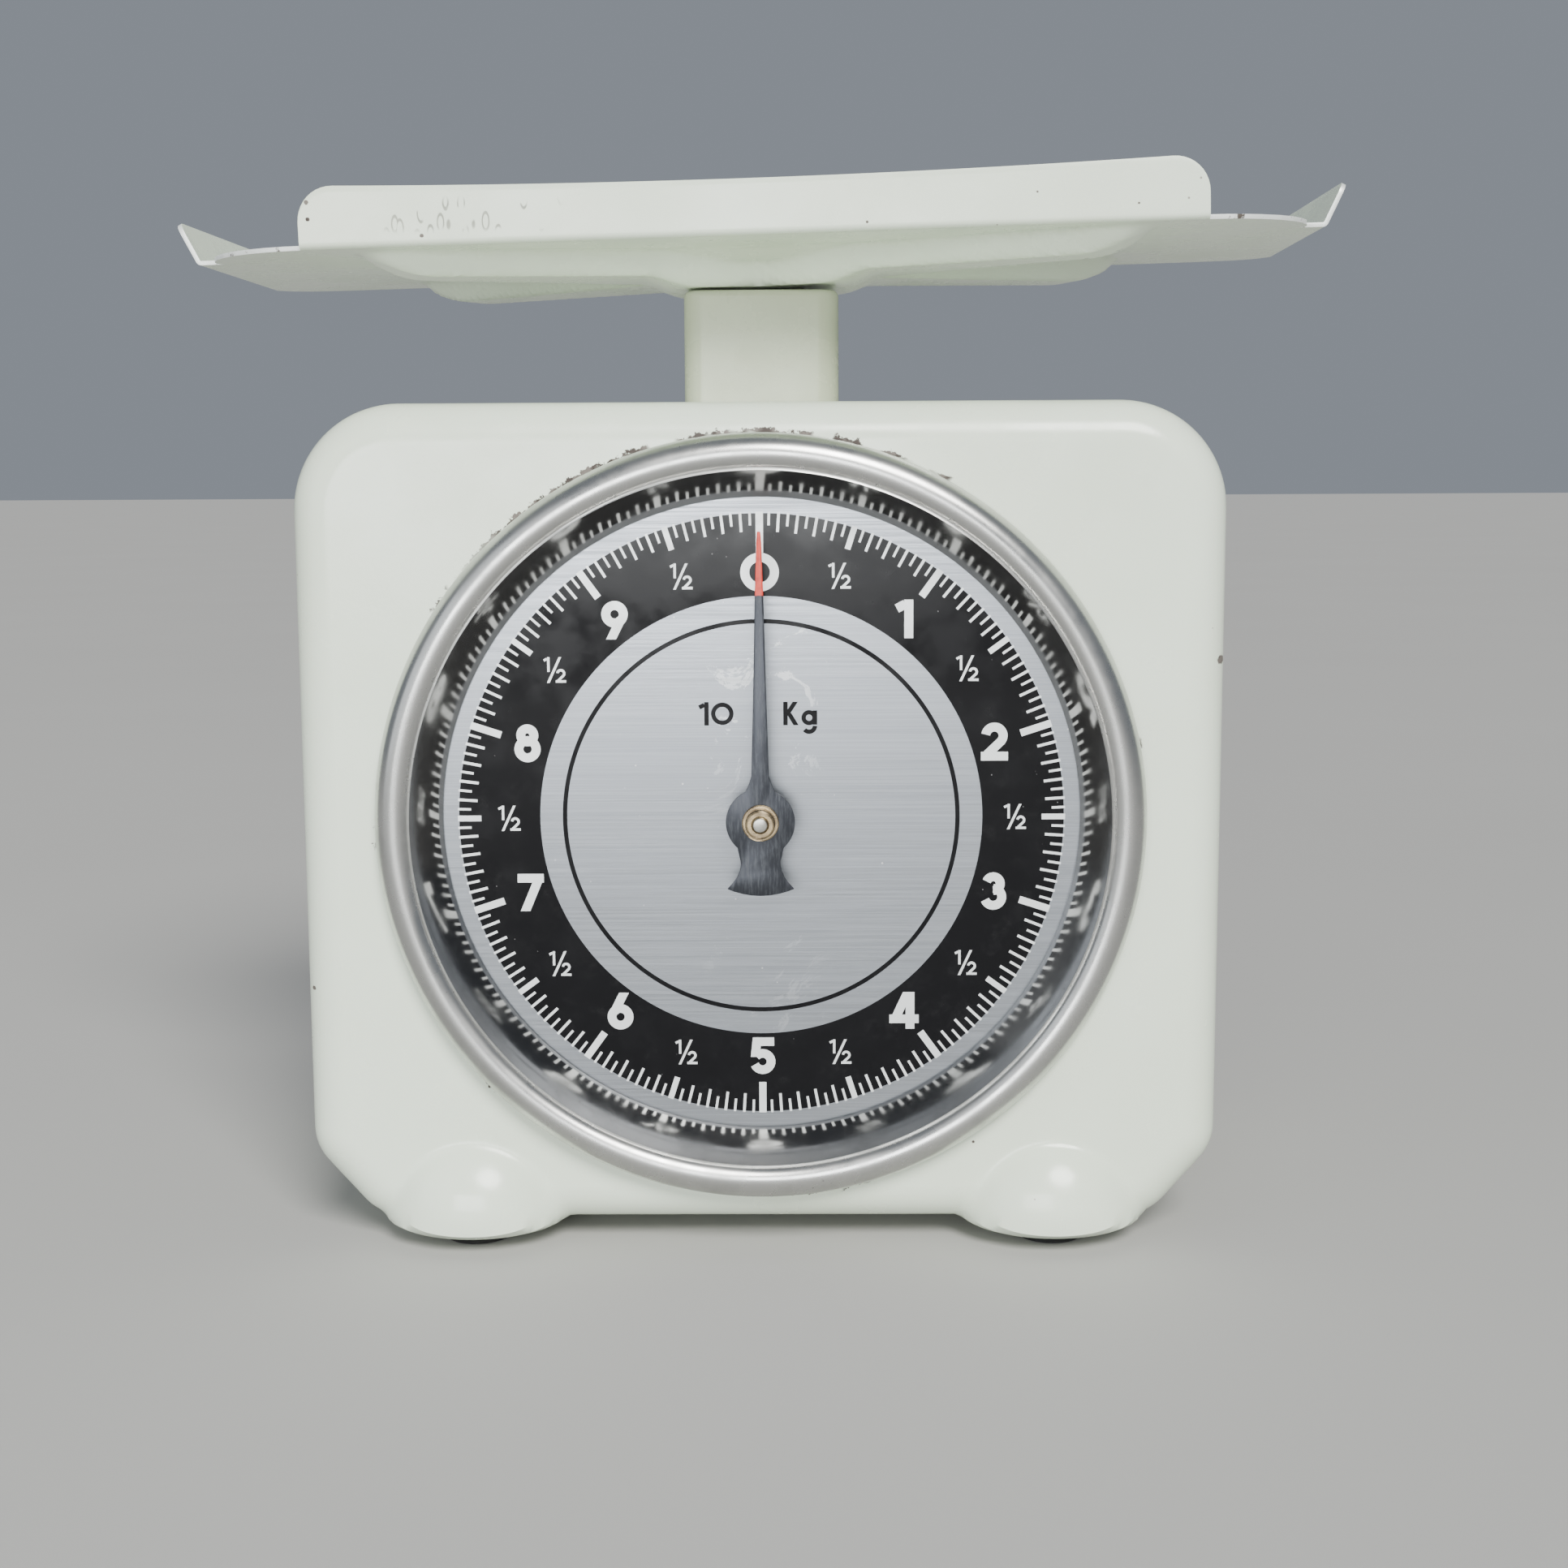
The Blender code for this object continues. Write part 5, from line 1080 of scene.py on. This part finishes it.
def floor_material():
    n = Nodes("pale_floor", (0.42, 0.415, 0.40), 0.7)
    n.bump(n.noise(300.0, 2.0), 0.00005, 0.2)
    return n.paint(n.mix(n.noise(3.0, 3.0), (0.41, 0.405, 0.39), (0.44, 0.435, 0.42)))


plane = bpy.data.meshes.new("floor")
reach = 30.0
corners = [(x * reach, y * reach, 0) for x, y in ((-1, -1), (1, -1), (1, 1), (-1, 1))]
plane.from_pydata(corners, [], [[0, 1, 2, 3]])
plane.materials.append(floor_material())
floor = bpy.data.objects.new("floor", plane)
bpy.context.scene.collection.objects.link(floor)

world = bpy.data.worlds.new("soft_room")
bpy.context.scene.world = world
world.use_nodes = True
world.node_tree.nodes["Background"].inputs["Color"].default_value = (0.80, 0.88, 1.0, 1.0)
world.node_tree.nodes["Background"].inputs["Strength"].default_value = 0.30


def lamp(name, place, target, size, power, colour):
    light = bpy.data.lights.new(name, "AREA")
    light.shape = "RECTANGLE"
    light.size, light.size_y = size
    light.energy = power
    light.color = colour
    obj = bpy.data.objects.new(name, light)
    obj.location = place
    obj.rotation_euler = (Vector(target) - Vector(place)).to_track_quat("-Z", "Y").to_euler()
    bpy.context.scene.collection.objects.link(obj)


sun = bpy.data.lights.new("daylight", "SUN")
sun.energy, sun.angle, sun.color = 4.7, math.radians(24), (1.0, 0.99, 0.96)
sky = bpy.data.objects.new("daylight", sun)
sky.rotation_euler = Vector((-0.20, 0.74, -0.64)).to_track_quat("-Z", "Y").to_euler()
bpy.context.scene.collection.objects.link(sky)
lamp("front", (-0.25, -1.5, 0.30), (0, 0, 0.18), (0.8, 0.4), 12.0, (0.97, 0.99, 1.0))
lamp("fill", (-1.0, -0.9, 0.5), (0, 0, 0.1), (0.9, 0.9), 3.0, (0.93, 0.97, 1.0))

FOCAL_PIXELS, FRAME_PIXELS, SENSOR = 2744.0, 1932.0, 36.0
PITCH, YAW, ROLL = 0.134, -0.010, -0.005
forward = Vector((math.sin(YAW) * math.cos(PITCH), math.cos(YAW) * math.cos(PITCH), -math.sin(PITCH)))
level = Vector((math.cos(YAW), -math.sin(YAW), 0.0))
upright = level.cross(forward)
right = math.cos(ROLL) * level + math.sin(ROLL) * upright
up = -math.sin(ROLL) * level + math.cos(ROLL) * upright
camera = bpy.data.cameras.new("camera")
camera.sensor_width = SENSOR
camera.lens = FOCAL_PIXELS / FRAME_PIXELS * SENSOR
camera.clip_start = 0.01
viewer = bpy.data.objects.new("camera", camera)
viewer.matrix_world = Matrix((right, up, -forward)).transposed().to_4x4()
viewer.location = Vector((10.2, FRONT - 492.35, DIAL_Z + 74.8)) * MM
bpy.context.scene.collection.objects.link(viewer)
bpy.context.scene.camera = viewer
